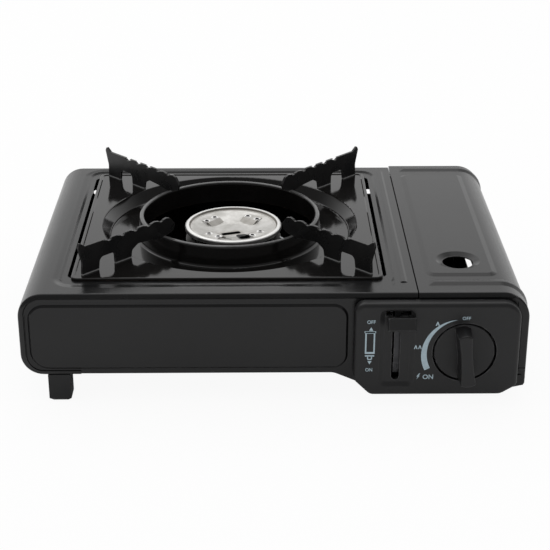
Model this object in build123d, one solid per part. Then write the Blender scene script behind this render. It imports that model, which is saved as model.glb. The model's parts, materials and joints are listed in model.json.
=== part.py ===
"""Table-top stove for a butane cassette: sheet-metal case, enamelled drip pan, gas train and lid.

Millimetres, +Z up, +X to the cassette side, -Y to the user. The origin is at floor level, under
the middle of the overall footprint.
"""

import os
from math import atan2, cos, degrees, hypot, radians, sin, sqrt, tan

from build123d import *

os.makedirs("parts", exist_ok=True)

# ---- case ----
body_width = 340.0  # over the curled left side and the lid's right side
body_depth = 246.0  # over the folded front and rear flanges of the shell
deck_height = 80.0  # top of the shell above the floor
sheet = 0.8  # pressed steel
case_bottom = 20.3  # underside of the shell's left-hand curl
bay_bottom = 9.7  # underside of the deep floor below the cassette
top_radius = 17.0
bottom_radius = 15.0
edge_radius = 2.0  # folded front and rear edges of shell and lid
flange_top = 6.0
flange_side = 4.4
flange_bottom = 3.0
curl_length = 40.0  # how far the shell wraps under the case
seam_flange = 7.0
fit_gap = 0.3  # between pieces that move apart
seat_gap = 1.3  # inset of the end walls from the shell's folded edge

# ---- lid over the cassette bay ----
lid_width = 75.0
lid_seam = 0.8
lid_rise = 0.2  # lid above the deck
lid_overhang = 2.4  # lid behind the shell
lid_proud = 0.3  # lid flange in front of the shell's flange
lid_radius = 19.0
lid_bottom = 11.2
lid_flange_top = 5.2
lid_flange_side = 5.0
lid_foot_flange = 8.0
lid_open_deg = 95.0
hinge_from_right = 4.2
hinge_height = 17.4
hinge_pin_radius = 1.5
hinge_ear_radius = 3.1
running_gap = 0.05
finger_hole_radius = 10.6
finger_dish_radius = 15.2
finger_dish_depth = 1.8
finger_hole_from_right = 42.4
finger_hole_from_front = 51.9
bead_rise = 1.1  # pressed beads that run over the lid's shoulder
bead_width = 9.4
bead_slope = 3.7
bead_margin = 7.4  # from the lid's seam to the beads and the raised panel
front_bead_from_front = 16.4
rear_bead_from_rear = 7.4
plateau_rise = 1.1
plateau_slope = 3.6
plateau_from_right = 18.0
plateau_front = 26.5  # behind the front of the case
plateau_rear = 19.0  # in front of the rear of the case

# ---- drip pan, ring and pan supports ----
ring_shift = 6.0  # ring to the right of the middle of the deck beside the lid
ring_back = 5.5  # ring behind the middle of the case
pan_side_room = 54.0  # deck left and right of the pan, together
pan_end_room = 35.0  # deck in front of and behind the pan, together
pan_short = 5.5  # pan wider than it is deep
pan_corner = 5.0
pan_shift = 2.0  # pan outline in front of the ring's centre
pan_stand = 0.4  # pan's flat above the deck
pan_bead = 3.0
pan_bead_rise = 0.6
ledge_drop = 1.1
ledge_slope_deg = 55.0  # step of the recess from upright
ledge_margin = 7.7  # recess in the deck around the pan
ledge_under = 5.0  # ledge that reaches under the pan at the front and rear
side_gap = 2.8  # opening of the deck beside the pan's left and right edges
recess_bay_width = 34.0  # finger bay of the recess
recess_bay_depth = 13.0
recess_bay_radius = 4.5
recess_bay_from_right = 9.5
trough_margin = 11.8  # from the pan's side to the round trough
trough_slope = 5.5
trough_width = 20.8
trough_depth = 8.6
ring_slope = 1.1
ring_width = 3.8
ring_rise = 7.1
ring_skirt = 9.2
pan_lift = 60.0
arm_thickness = 1.8
arm_top = 20.2
arm_margin = 11.7  # from the pan's corner to the foot of an arm
arm_tip_reach = 7.9  # tip of an arm inside the ring
notch_from_ring = 4.7
notch_from_end = 23.1
notch_count = 5
notch_radius = 2.4

# ---- burner ----
burner_shift = 2.5  # burner axis to the right of the ring's axis
cap_radius = 35.65
cap_drop = 1.9  # top of the cap below the deck
cap_sheet = 1.0
cap_rim = 3.0
cap_dish = 1.5  # rim's top above the edge of the cap's floor
cap_hollow = 3.8  # middle of the floor below its edge
boss_radius = 22.2  # cap's axis to its rivet holes
port_count = 36
port_width = 1.8
port_height = 5.5
bowl_wall = 1.2
bowl_bottom = 50.0
bowl_drop = 12.1  # bowl's shoulder below the cap's top
tube_drop = 10.0  # mixing tube's axis below the bowl
tube_radius = 9.0
tube_wall = 0.8
bell_radius = 12.0
jet_from_lever = 13.9
jet_before_stop = 1.5
jet_stand = 13.5  # jet holder's middle from the end of the tube's straight

# ---- control panel, knob, lever ----
panel_from_right = 6.7
panel_width = 110.0
panel_bottom = 8.6
panel_drop = 3.7  # top of the panel below the deck
panel_stand = 9.4
panel_wall = 2.2
panel_edge = 3.0
rebate_depth = 1.5
rebate_drop = 1.1
knob_from_panel_right = 36.9
knob_drop = 1.45  # knob below the middle of the panel
knob_radius = 20.2
knob_gap = 1.2
knob_sink = 0.2
knob_thickness = 8.0
knob_turn_deg = 125.0
grip_stand = 14.6
grip_width = 10.6
grip_waist = 9.2
grip_foot = 11.6
grip_lean_deg = 5.5
spindle_radius = 3.0
lever_from_panel_left = 27.5
slot_width = 5.3
slot_foot = 11.6  # slot above the panel's lower edge
slot_head = 5.6  # slot below the panel's upper edge
slot_rim = 3.25  # sunk track round the slot
dish_depth = 1.2
dish_width = 23.5
dish_slope = 3.2
pivot_rise = 0.55  # pivot above the middle of the slot
lever_pivot_back = 45.0  # pivot behind the shell's front
lever_reach = 61.6  # pivot to the middle of the lever head
lever_swing_deg = 34.0
head_width = 18.4
head_left = 6.2  # head's left side from the slot's middle
head_height = 8.8
head_depth = 6.0
arm_plate = 1.0
crank_length = 12.0
rod_sheet = 1.5
rod_height = 8.0
pivot_pin_radius = 2.0
crank_pin_radius = 1.5

# ---- cassette bay and gas train ----
cassette_radius = 33.5
cassette_from_right = 40.5
cassette_clearance = 1.0  # cassette above the deep floor
stop_plate_back = 43.0  # stop plate behind the shell's front
cassette_length = 182.0
rail_spread = 32.0
rail_width = 6.0
regulator_radius = 21.0
inlet_radius = 5.0
inlet_depth = 6.0
inlet_boss_radius = 11.0
gas_pipe_radius = 2.5
gas_pipe_low = 14.6
igniter_radius = 6.0
wire_radius = 1.2

# ---- feet ----
foot_width = 15.0
foot_depth = 13.0
foot_chamfer = 2.5
foot_from_left = 17.5
foot_setback = 0.3
right_foot_setback = 14.0

# ---- places worked out from the values above ----
body_left = -(body_width + bead_rise) / 2
body_right = body_left + body_width
total_depth = grip_stand + panel_stand + body_depth + lid_overhang
front_y = -total_depth / 2 + grip_stand + panel_stand
rear_y = front_y + body_depth
wall_y = front_y + sheet
rear_wall_y = rear_y - sheet
panel_y = front_y - panel_stand
seam_x = body_right - lid_width
burner_deck = body_width - lid_width
ring_x = body_left + burner_deck / 2 + ring_shift
ring_y = (front_y + rear_y) / 2 + ring_back
pan_width = min(burner_deck - pan_side_room, body_depth - pan_end_room)
pan_depth = pan_width - pan_short
pan_flat = deck_height + pan_stand
trough_radius = pan_width / 2 - trough_margin
trough_foot_radius = trough_radius - trough_slope
ring_foot_radius = trough_foot_radius - trough_width
ring_outer_radius = ring_foot_radius - ring_slope
ring_inner_radius = ring_outer_radius - ring_width
arm_out = pan_width / 2 * sqrt(2) - arm_margin
notch_first = ring_inner_radius + notch_from_ring
notch_last = arm_out - notch_from_end
notch_pitch = (notch_last - notch_first) / (notch_count - 1)
cap_top = deck_height - cap_drop
bowl_shoulder = cap_top - bowl_drop
tube_height = bowl_bottom - tube_drop
panel_top = deck_height - panel_drop
slot_bottom = panel_bottom + slot_foot
slot_top = panel_top - slot_head
slot_middle = (slot_bottom + slot_top) / 2
slot_length = slot_top - slot_bottom
lever_pivot_height = slot_middle + pivot_rise
knob_height = (panel_bottom + panel_top) / 2 - knob_drop
panel_right = body_right - panel_from_right
panel_left = panel_right - panel_width
knob_x = panel_right - knob_from_panel_right
lever_x = panel_left + lever_from_panel_left
cassette_x = body_right - cassette_from_right
finger_hole_x = body_right - finger_hole_from_right
burner_x = ring_x + burner_shift
tray_bottom = case_bottom + sheet
lid_front = front_y - lid_proud
lid_rear = rear_y + lid_overhang
lid_top = deck_height + lid_rise
lid_left = seam_x + lid_seam
hinge_x = body_right - hinge_from_right
ledge_height = deck_height - ledge_drop
partition_x = seam_x - sheet - 0.4
bay_floor = bay_bottom + sheet
stop_y = front_y + stop_plate_back
lever_pivot_y = front_y + lever_pivot_back
push_travel = 2 * crank_length * sin(radians(lever_swing_deg / 2))
pusher_y = stop_y + cassette_length
floor_right = cassette_x + 26.3
cassette_height = bay_floor + cassette_radius + cassette_clearance
jet_x = lever_x - jet_from_lever
jet_y = stop_y - jet_before_stop
jet_reach = hypot(jet_x - burner_x, jet_y - ring_y)
tube_length = jet_reach - jet_stand


def front_plane(y):
    """Plane across the case at y, drawn in X and Z, facing the user."""
    return Plane(origin=(0, y, 0), x_dir=(1, 0, 0), z_dir=(0, -1, 0))


def slab(face, y_front, y_back):
    """Solid between two Y places with a section drawn in X and Z."""
    return extrude(front_plane(y_back) * face, amount=y_back - y_front, dir=(0, -1, 0))


def side_slab(face, x_left, x_right):
    """Solid between two X places with a section drawn in Y and Z."""
    plane = Plane(origin=(x_left, 0, 0), x_dir=(0, 1, 0), z_dir=(1, 0, 0))
    return extrude(plane * face, amount=x_right - x_left, dir=(1, 0, 0))


def block(x_left, x_right, y_front, y_back, z_low, z_high):
    """Rectangular solid between six limits."""
    size = (x_right - x_left, y_back - y_front, z_high - z_low)
    middle = ((x_left + x_right) / 2, (y_front + y_back) / 2, (z_low + z_high) / 2)
    return Pos(*middle) * Box(*size)


def outline(points, radii):
    """Closed flat outline with one radius for each corner."""
    return make_face(FilletPolyline(*points, radius=radii, close=True))


def rod_y(x, z, radius, y_front, y_back):
    """Round bar along Y."""
    return slab(Pos(x, z) * Circle(radius), y_front, y_back)


def rod_x(y, z, radius, x_left, x_right):
    """Round bar along X."""
    return side_slab(Pos(y, z) * Circle(radius), x_left, x_right)


def rod_z(x, y, radius, z_low, z_high):
    """Upright round bar."""
    return extrude(Pos(x, y, z_low) * Circle(radius), amount=z_high - z_low)


def sheet_from_line(points, radii, thickness):
    """Section of a bent sheet, on the left-hand side of its line of points."""
    line = FilletPolyline(*points, radius=radii)
    return make_face(line.wire().offset_2d(thickness, side=Side.LEFT, closed=True))


def case_section(inset, right_x):
    """Section of the wrapped shell, drawn in by inset, closed at right_x."""
    points = [
        (right_x, deck_height - inset),
        (body_left + inset, deck_height - inset),
        (body_left + inset, case_bottom + inset),
        (right_x, case_bottom + inset),
    ]
    return outline(points, [0, top_radius - inset, bottom_radius - inset, 0])


def pan_outline(grow):
    """Pan's plan, grown by a margin, at its place over the deck."""
    plan = RectangleRounded(pan_width + 2 * grow, pan_depth + 2 * grow, pan_corner + max(grow, -2) * 0.8)
    return Pos(ring_x, ring_y - pan_shift) * plan


def recess_outline(grow):
    """Pressed recess around the pan, with the finger bay at its front right corner."""
    margin = ledge_margin + grow
    front_edge = ring_y - pan_shift - pan_depth / 2 - margin
    bay_x = ring_x + pan_width / 2 - recess_bay_from_right
    bay = RectangleRounded(recess_bay_width + 2 * grow, recess_bay_depth, recess_bay_radius)
    bay = Pos(bay_x, front_edge + recess_bay_depth / 2 - ledge_under + 1.5) * bay
    return pan_outline(margin) + bay


def outer_edges(solid, y, avoid_x):
    """Edges of the end face at y, apart from the open one at avoid_x."""
    face = solid.faces().sort_by(Axis.Y)[0 if y < 0 else -1]
    return [edge for edge in face.edges() if abs(edge.center().X - avoid_x) > 0.5]


def make_top_shell():
    """Deck, left side and curl in one sheet, folded in at the front and rear."""
    outer = slab(case_section(0, seam_x), front_y, rear_y)
    outer = fillet(outer_edges(outer, front_y, seam_x) + outer_edges(outer, rear_y, seam_x), edge_radius)
    inner = slab(case_section(sheet, seam_x - sheet), front_y + sheet, rear_y - sheet)
    inner_edges = outer_edges(inner, front_y, seam_x - sheet) + outer_edges(inner, rear_y, seam_x - sheet)
    inner = fillet(inner_edges, edge_radius - sheet)
    deck = Pos(0, 0, deck_height)
    ledge_block = extrude(deck * recess_outline(sheet / 2), amount=-ledge_drop - sheet, taper=ledge_slope_deg)
    shell = outer - (inner - ledge_block)
    shell -= extrude(deck * recess_outline(0), amount=-ledge_drop, taper=ledge_slope_deg)
    opening = RectangleRounded(pan_width + 2 * side_gap, pan_depth - 2 * ledge_under, pan_corner)
    shell -= extrude(Pos(ring_x, ring_y - pan_shift, deck_height + 1) * opening, amount=-12)
    window = outline(
        [
            (seam_x + 1, deck_height - flange_top),
            (body_left + flange_side, deck_height - flange_top),
            (body_left + flange_side, case_bottom + flange_bottom),
            (seam_x + 1, case_bottom + flange_bottom),
        ],
        [0, top_radius - flange_side, bottom_radius - flange_side, 0],
    )
    shell -= slab(window, front_y - 1, front_y + edge_radius + 1)
    shell -= slab(window, rear_y - edge_radius - 1, rear_y + 1)
    curl_end = body_left + curl_length
    seam_low = deck_height - seam_flange
    shell -= block(curl_end, seam_x + 1, front_y - 1, rear_y + 1, case_bottom - 1, seam_low)
    bead = Polygon(
        (seam_x - 10.8, deck_height - 0.1),
        (seam_x - 9.0, deck_height + 0.6),
        (seam_x - 6.8, deck_height + 0.6),
        (seam_x - 5.0, deck_height - 0.1),
        align=None,
    )
    return shell + slab(bead, front_y + 18, rear_y - 12)


def wall_outline():
    """End wall of the tray: follows the shell on the left, the lid on the right."""
    inset = sheet + seat_gap
    step_x = body_left + curl_length + fit_gap
    points = [
        (body_left + inset, deck_height - inset),
        (body_left + inset, case_bottom + inset),
        (step_x, case_bottom + inset),
        (step_x, tray_bottom),
        (panel_left - 13, tray_bottom),
        (panel_left + 13, bay_bottom),
        (floor_right + 1, bay_bottom),
        (floor_right + 1, hinge_height),
        (body_right - sheet - 2 * fit_gap, hinge_height),
        (body_right - sheet - 2 * fit_gap, deck_height - inset),
    ]
    right_radius = lid_radius - sheet - 2 * fit_gap
    radii = [top_radius - inset, bottom_radius - inset, 0, 0, 12, 12, 0, 0, 0, right_radius]
    wall = outline(points, radii)
    swing = sqrt((lid_foot_flange - hinge_from_right) ** 2 + (hinge_height - lid_bottom) ** 2) + 1.0
    wall -= Pos(hinge_x, hinge_height) * Circle(swing)
    tongue = Pos(hinge_x, hinge_height + swing) * Rectangle(2 * hinge_ear_radius, 2 * swing)
    return wall + tongue + Pos(hinge_x, hinge_height) * Circle(hinge_ear_radius)


def emboss_outline(inset):
    """Raised area of the front wall, left of the control panel."""
    left = body_left + flange_side + 2.1 + inset
    right = panel_left - 3.8 - inset
    low = tray_bottom + 3.7 + inset
    high = deck_height - flange_top - 1.8 - inset
    return outline([(left, high), (left, low), (right, low), (right, high)], [11, 13, 10, 10])


def floor_section():
    """Stepped floor: shallow under the burner, deep under the cassette."""
    left = body_left + bottom_radius
    corners = [(left, tray_bottom), (panel_left - 13, tray_bottom), (panel_left + 13, bay_bottom)]
    low = corners + [(floor_right, bay_bottom)]
    high = [(x, z + sheet) for x, z in reversed(low)]
    return outline(low + high, [0, 12, 12, 0, 0, 12, 12, 0])


def make_base_tray():
    """Front wall, stepped floor and rear wall of one pressed tray."""
    emboss_rise = 1.5
    front = slab(wall_outline(), wall_y, wall_y + sheet)
    front += extrude(front_plane(wall_y) * emboss_outline(0), amount=emboss_rise, taper=45)
    inner_outline = emboss_outline(sheet * 0.4)
    front -= extrude(front_plane(wall_y + sheet) * inner_outline, amount=emboss_rise, taper=45)
    lever_window = Pos(lever_x + 1.2, lever_pivot_height) * Rectangle(14, slot_length + 6.7)
    front -= slab(lever_window, wall_y - 1, wall_y + 2)
    front -= rod_y(knob_x, knob_height, 8, wall_y - 1, wall_y + 2)
    rear = slab(wall_outline(), rear_wall_y - sheet, rear_wall_y)
    pitch = pan_width / 6.2
    vent_height = (tray_bottom + deck_height) / 2 + 8.5
    vents = [Pos(ring_x + step * pitch, vent_height) * SlotOverall(pitch - 10, 4) for step in range(-3, 4)]
    for vent in vents:
        rear -= slab(vent, rear_wall_y - 2, rear_wall_y + 1)
    tray = front + rear + slab(floor_section(), wall_y, rear_wall_y)
    curl_right = body_left + curl_length + fit_gap
    curl_top = case_bottom + sheet + seat_gap
    for y_front, y_back in ((front_y, front_y + edge_radius), (rear_y - edge_radius, rear_y)):
        tray -= block(body_left, curl_right, y_front - 0.2, y_back + 0.2, 0, curl_top)
    seam_low = deck_height - seam_flange - 0.6
    tray -= block(seam_x - sheet - fit_gap, lid_left + sheet + 4.5, front_y, rear_y, seam_low, deck_height)
    tray += block(floor_right - sheet, floor_right, wall_y, rear_wall_y, bay_bottom, hinge_height)
    for place in range(4):
        vent_y = stop_y + 25 + place * 40
        tray -= extrude(Pos(cassette_x, vent_y, bay_bottom - 1) * SlotOverall(30, 5), amount=3)
    for x, z in panel_screw_places():
        tray -= rod_y(x, z, 1.7, wall_y - 1, wall_y + 2)
    hinge_hole = hinge_pin_radius
    return tray - rod_y(hinge_x, hinge_height, hinge_hole, wall_y - 1, rear_wall_y + 1)


def make_bay_partition():
    """Upright sheet that keeps the burner's heat from the cassette."""
    slab_y = (wall_y + sheet, rear_wall_y - sheet)
    plate = block(partition_x - sheet, partition_x, *slab_y, bay_floor, deck_height - sheet - fit_gap)
    fold = block(partition_x - 9, partition_x, *slab_y, bay_floor, bay_floor + sheet)
    plate += fold
    rod_middle = rod_place()[1]
    slot_front = rod_tab_y() - push_travel - 1.0
    slot_back = rod_tab_y() + rod_sheet + 1.0
    slot_half = rod_height / 2 + 1.0
    window_z = (rod_middle - slot_half, rod_middle + slot_half)
    plate -= block(partition_x - 2, partition_x + 1, slot_front, slot_back, *window_z)
    pipe_y, wire_y = pipe_crossing_y(), wire_points()[3][1]
    plate -= rod_x(pipe_y, gas_pipe_low, gas_pipe_radius + 1.5, partition_x - 10, partition_x + 1)
    return plate - rod_x(wire_y, wire_points()[3][2], wire_radius + 2.2, partition_x - 10, partition_x + 1)


def lid_section(inset, left_x):
    """Section of the lid, drawn in by inset: top, rounded corner and right side."""
    right = body_right - inset
    points = [(left_x, lid_top - inset), (left_x, lid_bottom + inset), (right, lid_bottom + inset)]
    return outline(points + [(right, lid_top - inset)], [0, 0, max(1.6 - inset, 0), lid_radius - inset])


def bead_section(rise):
    """Section of a pressed bead over the lid's top, shoulder and side."""
    left, low = lid_left + bead_margin, bay_bottom + bead_margin
    right, high = body_right + rise, lid_top + rise
    return outline([(left, high), (left, low), (right, low), (right, high)], [0, 0, 0, lid_radius + rise])


def bead_end_cuts(inset):
    """Sections that slope a bead's two ends down to the skin."""
    left, low = lid_left + bead_margin, bay_bottom + bead_margin
    right, high = body_right - inset, lid_top - inset
    room = 3.0
    top = [
        (left - 1, high),
        (left, high),
        (left + bead_slope, high + bead_rise),
        (left + bead_slope, high + room),
        (left - 1, high + room),
    ]
    side = [
        (right, low - 1),
        (right, low),
        (right + bead_rise, low + bead_slope),
        (right + room, low + bead_slope),
        (right + room, low - 1),
    ]
    return Polygon(*top, align=None), Polygon(*side, align=None)


def make_bead(y_front, inset):
    """Pressed bead with sloped sides and ends, at one of the lid's two skins."""
    y_back = y_front + bead_width
    foot = bead_section(-inset)
    crest = bead_section(bead_rise - inset)
    front = loft([front_plane(y_front) * foot, front_plane(y_front + bead_slope) * crest], ruled=True)
    back = loft([front_plane(y_back - bead_slope) * crest, front_plane(y_back) * foot], ruled=True)
    bead = front + slab(crest, y_front + bead_slope, y_back - bead_slope) + back
    for cut in bead_end_cuts(inset):
        bead -= slab(cut, y_front - 1, y_back + 1)
    return bead


def make_plateau(inset):
    """Raised panel of the lid with wide soft slopes, at one of the lid's two skins."""
    left, right = lid_left + bead_margin, body_right - plateau_from_right
    near, far = front_y + plateau_front, rear_y - plateau_rear
    middle = Pos((left + right) / 2, (near + far) / 2, 0)
    high = lid_top + plateau_rise - inset
    base = RectangleRounded(right - left, far - near, plateau_slope + 3.0)
    crown = RectangleRounded(right - left - 2 * plateau_slope, far - near - 2 * plateau_slope, 3.0)
    return loft([middle * Pos(0, 0, lid_top - inset) * base, middle * Pos(0, 0, high) * crown], ruled=True)


def make_lid():
    """Pressed cover with folded ends, beads, a raised panel and a dished finger hole."""
    outer = slab(lid_section(0, lid_left), lid_front, lid_rear)
    end_edges = outer_edges(outer, lid_front, lid_left) + outer_edges(outer, lid_rear, lid_left)
    outer = fillet(end_edges, edge_radius * 0.75)
    inner = slab(lid_section(sheet, lid_left + sheet), lid_front + sheet, lid_rear - sheet)
    for bead_y in (front_y + front_bead_from_front, rear_y - rear_bead_from_rear):
        outer += make_bead(bead_y - bead_width / 2, 0)
        inner += make_bead(bead_y - bead_width / 2, sheet)
    lid = outer + make_plateau(0) - (inner + make_plateau(sheet))
    foot_left = body_right - lid_foot_flange
    inside = body_right - lid_flange_side
    window = outline(
        [
            (lid_left - 1, lid_top - lid_flange_top),
            (lid_left - 1, lid_bottom - 1),
            (inside, lid_bottom - 1),
            (inside, lid_top - lid_flange_top),
        ],
        [0, 0, 0, lid_radius - lid_flange_side],
    )
    ear = Pos(hinge_x, hinge_height) * Circle(hinge_ear_radius + 0.9)
    ear += Polygon(
        (hinge_x - 7.0, hinge_height + 2.0),
        (hinge_x - 7.0, bay_bottom - 0.6),
        (body_right - 1.0, lid_bottom + 0.2),
        (body_right - 1.0, hinge_height + 2.0),
        align=None,
    )
    window -= ear
    lid -= slab(window, lid_front - 1, lid_front + edge_radius)
    lid -= slab(window, lid_rear - edge_radius, lid_rear + 1)
    lid -= block(lid_left - 1, foot_left, lid_front - 1, lid_rear + 1, lid_bottom - 1, lid_top - 6.5)
    lid += slab(ear, lid_front + 0.1, lid_front + sheet)
    lid += slab(ear, lid_rear - sheet, lid_rear - 0.1)
    hole_y = front_y + finger_hole_from_front
    top = lid_top + plateau_rise
    dish_back = revolve_at(finger_hole_x, hole_y, dish_profile(top - sheet, sheet * 0.6))
    lid += dish_back
    lid -= revolve_at(finger_hole_x, hole_y, dish_profile(top, 0))
    lid -= rod_z(finger_hole_x, hole_y, finger_hole_radius, lid_top - 8, lid_top + 5)
    bore = hinge_pin_radius + running_gap
    return lid - rod_y(hinge_x, hinge_height, bore, lid_front - 1, lid_rear + 1)


def dish_profile(top, grow):
    """Half section of the finger dish, as a shallow cone."""
    low = top - finger_dish_depth
    wide = finger_dish_radius + grow
    narrow = finger_hole_radius + 0.6 + grow
    return Polygon((0, low), (narrow, low), (wide, top), (wide, top + 0.02), (0, top + 0.02), align=None)


def revolve_at(x, y, half_section):
    """Solid of revolution about an upright axis at x, y, from a half section drawn in R and Z."""
    plane = Plane(origin=(0, 0, 0), x_dir=(1, 0, 0), z_dir=(0, -1, 0))
    return Pos(x, y, 0) * revolve(plane * half_section, Axis.Z)


def make_hinge_pins():
    """Headed pins through the lid's ears and the tray's end walls."""
    front = rod_y(hinge_x, hinge_height, hinge_pin_radius, lid_front - fit_gap - 0.2, wall_y + 4)
    front += rod_y(hinge_x, hinge_height, 2.1, lid_front - fit_gap - 0.6, lid_front - fit_gap)
    rear = rod_y(hinge_x, hinge_height, hinge_pin_radius, rear_wall_y - 4, lid_rear)
    rear -= rod_y(hinge_x, hinge_height, 5, lid_rear - 0.3, lid_rear + 1)
    return [front, rear]


def make_drip_pan():
    """Enamelled pan: beaded rim, flat, round trough and a folded upright ring."""
    lip_bottom = ledge_height + fit_gap
    bead_top = pan_flat + pan_bead_rise
    pan = extrude(Pos(0, 0, lip_bottom) * pan_outline(0), amount=bead_top - lip_bottom)
    pan = fillet(pan.faces().sort_by(Axis.Z)[-1].edges(), 1.0)
    inside_bead = Pos(0, 0, bead_top) * pan_outline(-pan_bead + pan_bead_rise)
    pan -= extrude(inside_bead, amount=-pan_bead_rise, taper=45)
    pan -= extrude(Pos(0, 0, lip_bottom) * pan_outline(-sheet), amount=pan_flat - sheet - lip_bottom)
    pan -= rod_z(ring_x, ring_y, trough_radius + 1.5, lip_bottom - 1, bead_top + 1)
    trough_z = pan_flat - trough_depth
    rim_z = pan_flat + ring_rise
    points = [
        (trough_radius + 1.6, pan_flat),
        (trough_radius, pan_flat),
        (trough_foot_radius, trough_z),
        (ring_foot_radius, trough_z),
        (ring_outer_radius, rim_z),
        (ring_inner_radius, rim_z),
        (ring_inner_radius + 1.8, pan_flat - ring_skirt),
    ]
    section = sheet_from_line(points, [1.2, 2.2, 2.2, 1.6, 1.6], sheet)
    return pan + revolve_at(ring_x, ring_y, section)


def arm_profile():
    """Pressed plate of one pan support, drawn in radius from the ring's axis and height over the flat."""
    top = arm_top
    tip = ring_inner_radius - arm_tip_reach
    leg = trough_radius + 2.0
    legs = arm_out - leg
    arch_in, arch_out = leg + legs * 0.335, leg + legs * 0.69
    points = [
        (arm_out + 1.4, 0),
        (arm_out + 0.8, 9.5),
        (arm_out + 4.0, top + 0.8),
        (arm_out + 2.6, top + 3.8),
        (arm_out - 2.0, top + 0.4),
        (tip + 7.9, top),
        (tip + 4.0, top - 1.2),
        (tip, 13.6),
        (tip + 2.0, 9.0),
        (tip + 5.8, 7.6),
        (ring_outer_radius + 2.2, 6.0),
        (ring_outer_radius + 12.7, 8.0),
        (leg - 6.7, 8.9),
        (leg - 0.9, 5.6),
        (leg, 0),
        (arch_in, 0),
        (arch_in + 0.4, 8.9),
        (arch_out - 1.2, 8.9),
        (arch_out, 0),
    ]
    radii = [0, 6, 1.4, 0.8, 1.6, 3.0, 2.5, 2.5, 2.0, 0.8, 1.0, 6.0, 3.0, 3.0, 0, 0, 3.2, 4.0, 0]
    plate = outline(points, radii)
    seat = [
        (ring_inner_radius - 0.3, 0),
        (ring_inner_radius - 0.3, ring_rise),
        (ring_outer_radius + 0.2, ring_rise),
        (ring_outer_radius + 1.0, 0),
    ]
    plate -= outline(seat, [0, 1.4, 1.4, 0])
    for place in range(notch_count):
        radius = notch_last - place * notch_pitch
        plate -= Pos(radius, top + 0.7) * Circle(notch_radius)
        for side in (-1, 1):
            corner = radius + side * (notch_radius - 0.1)
            far, near = corner + side * 3.2, corner - side
            plate -= Polygon((near, top + 0.1), (far, top + 0.1), (near, top - 0.9), align=None)
    return plate


def make_arm(turn):
    """One pan support, standing on the pan's flat at an angle round the ring."""
    plane = Plane(origin=(0, arm_thickness / 2, pan_flat), x_dir=(1, 0, 0), z_dir=(0, -1, 0))
    plate = extrude(plane * arm_profile(), amount=arm_thickness)
    return Pos(ring_x, ring_y, 0) * Rot(0, 0, turn) * plate


def make_burner_body():
    """Bowl with a slotted wall that carries the cap."""
    wall_top = cap_top - cap_dish - cap_sheet
    shoulder = cap_radius - 0.4
    points = [
        (tube_radius + 1.0, bowl_bottom),
        (tube_radius + 9, bowl_bottom + 3),
        (cap_radius - cap_rim - 1.2, bowl_shoulder - 5),
        (shoulder, bowl_shoulder),
        (shoulder, bowl_shoulder + 1.6),
        (cap_radius - cap_rim - 1.0, bowl_shoulder + 1.6),
        (cap_radius - cap_rim - 1.0, wall_top),
        (cap_radius - cap_rim - 1.0 - bowl_wall, wall_top),
        (cap_radius - cap_rim - 1.0 - bowl_wall, bowl_shoulder - 3.8),
        (tube_radius + 8.4, bowl_bottom + 3 + bowl_wall),
        (tube_radius + 1.0, bowl_bottom + bowl_wall),
    ]
    body = revolve_at(burner_x, ring_y, Polygon(*points, align=None))
    port_z = wall_top - 1.0 - port_height / 2
    slot = Pos(cap_radius - cap_rim - 1.6, 0, port_z) * Box(6, port_width, port_height)
    middle = Pos(burner_x, ring_y, 0)
    ports = [middle * Rot(0, 0, place * 360 / port_count) * slot for place in range(port_count)]
    return body - ports


def cap_floor(radius):
    """Height of the cap's hollowed floor at a distance from its axis."""
    edge, middle = cap_radius - cap_rim - 2.8, 12.5
    share = min(max((edge - radius) / (edge - middle), 0), 1)
    return cap_top - cap_dish - share * cap_hollow


def make_burner_cap():
    """Hollowed bright disc with a rolled rim, four bosses with rivet holes and three pressed openings."""
    edge_z, low_z = cap_floor(cap_radius), cap_floor(0)
    inside = cap_radius - cap_rim
    edge, middle = inside - 2.8, 12.5
    points = [
        (0, low_z - cap_sheet),
        (middle, low_z - cap_sheet),
        (edge, edge_z - cap_sheet),
        (inside - 0.2, edge_z - cap_sheet),
        (inside + 0.4, cap_top - cap_sheet),
        (cap_radius - cap_sheet, cap_top - cap_sheet),
        (cap_radius - cap_sheet, cap_top - 3.2),
        (cap_radius, cap_top - 3.2),
        (cap_radius, cap_top),
        (inside, cap_top),
        (inside - 1.0, edge_z),
        (edge, edge_z),
        (middle, low_z),
        (0, low_z),
    ]
    bends = [0, 4, 1.0, 0.2, 0.2, 0.3, 0, 0, 1.3, 0.5, 0.5, 1.0, 4, 0]
    cap = revolve_at(burner_x, ring_y, make_face(FilletPolyline(*points, radius=bends, close=True)))
    axis = Pos(burner_x, ring_y, 0)
    boss_top = cap_floor(boss_radius + 5.0)
    boss_face = [
        (boss_radius - 8.6, cap_floor(boss_radius - 8.6) - 0.3),
        (boss_radius - 3.0, boss_top),
        (boss_radius + 5.0, boss_top),
        (boss_radius + 5.0, cap_floor(boss_radius + 5.0) - 0.3),
    ]
    for turn in (51, 140, 231, 320):
        place = axis * Rot(0, 0, turn)
        cap += place * slab(Polygon(*boss_face, align=None), -6.6, 6.6)
        for side in (-4.5, 4.5):
            cap += place * rod_z(boss_radius, side, 1.9, boss_top - 0.4, boss_top + 0.4)
            cap -= place * rod_z(boss_radius, side, 1.1, boss_top - 5, boss_top + 2)
    crescent = Pos(-1.6, -6.2, low_z - 2) * Rot(0, 0, 18) * SlotOverall(14, 4.2)
    cap -= axis * extrude(crescent, amount=6)
    slit = Pos(-3.6, -22.0, low_z - 2) * Rot(0, 0, -27) * SlotOverall(6.8, 2.0)
    cap -= axis * extrude(slit, amount=8)
    window = Pos(8.0, -17.4, low_z - 2) * Rot(0, 0, 12) * RectangleRounded(6.0, 9.6, 1.2)
    return cap - axis * extrude(window, amount=8)


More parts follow.
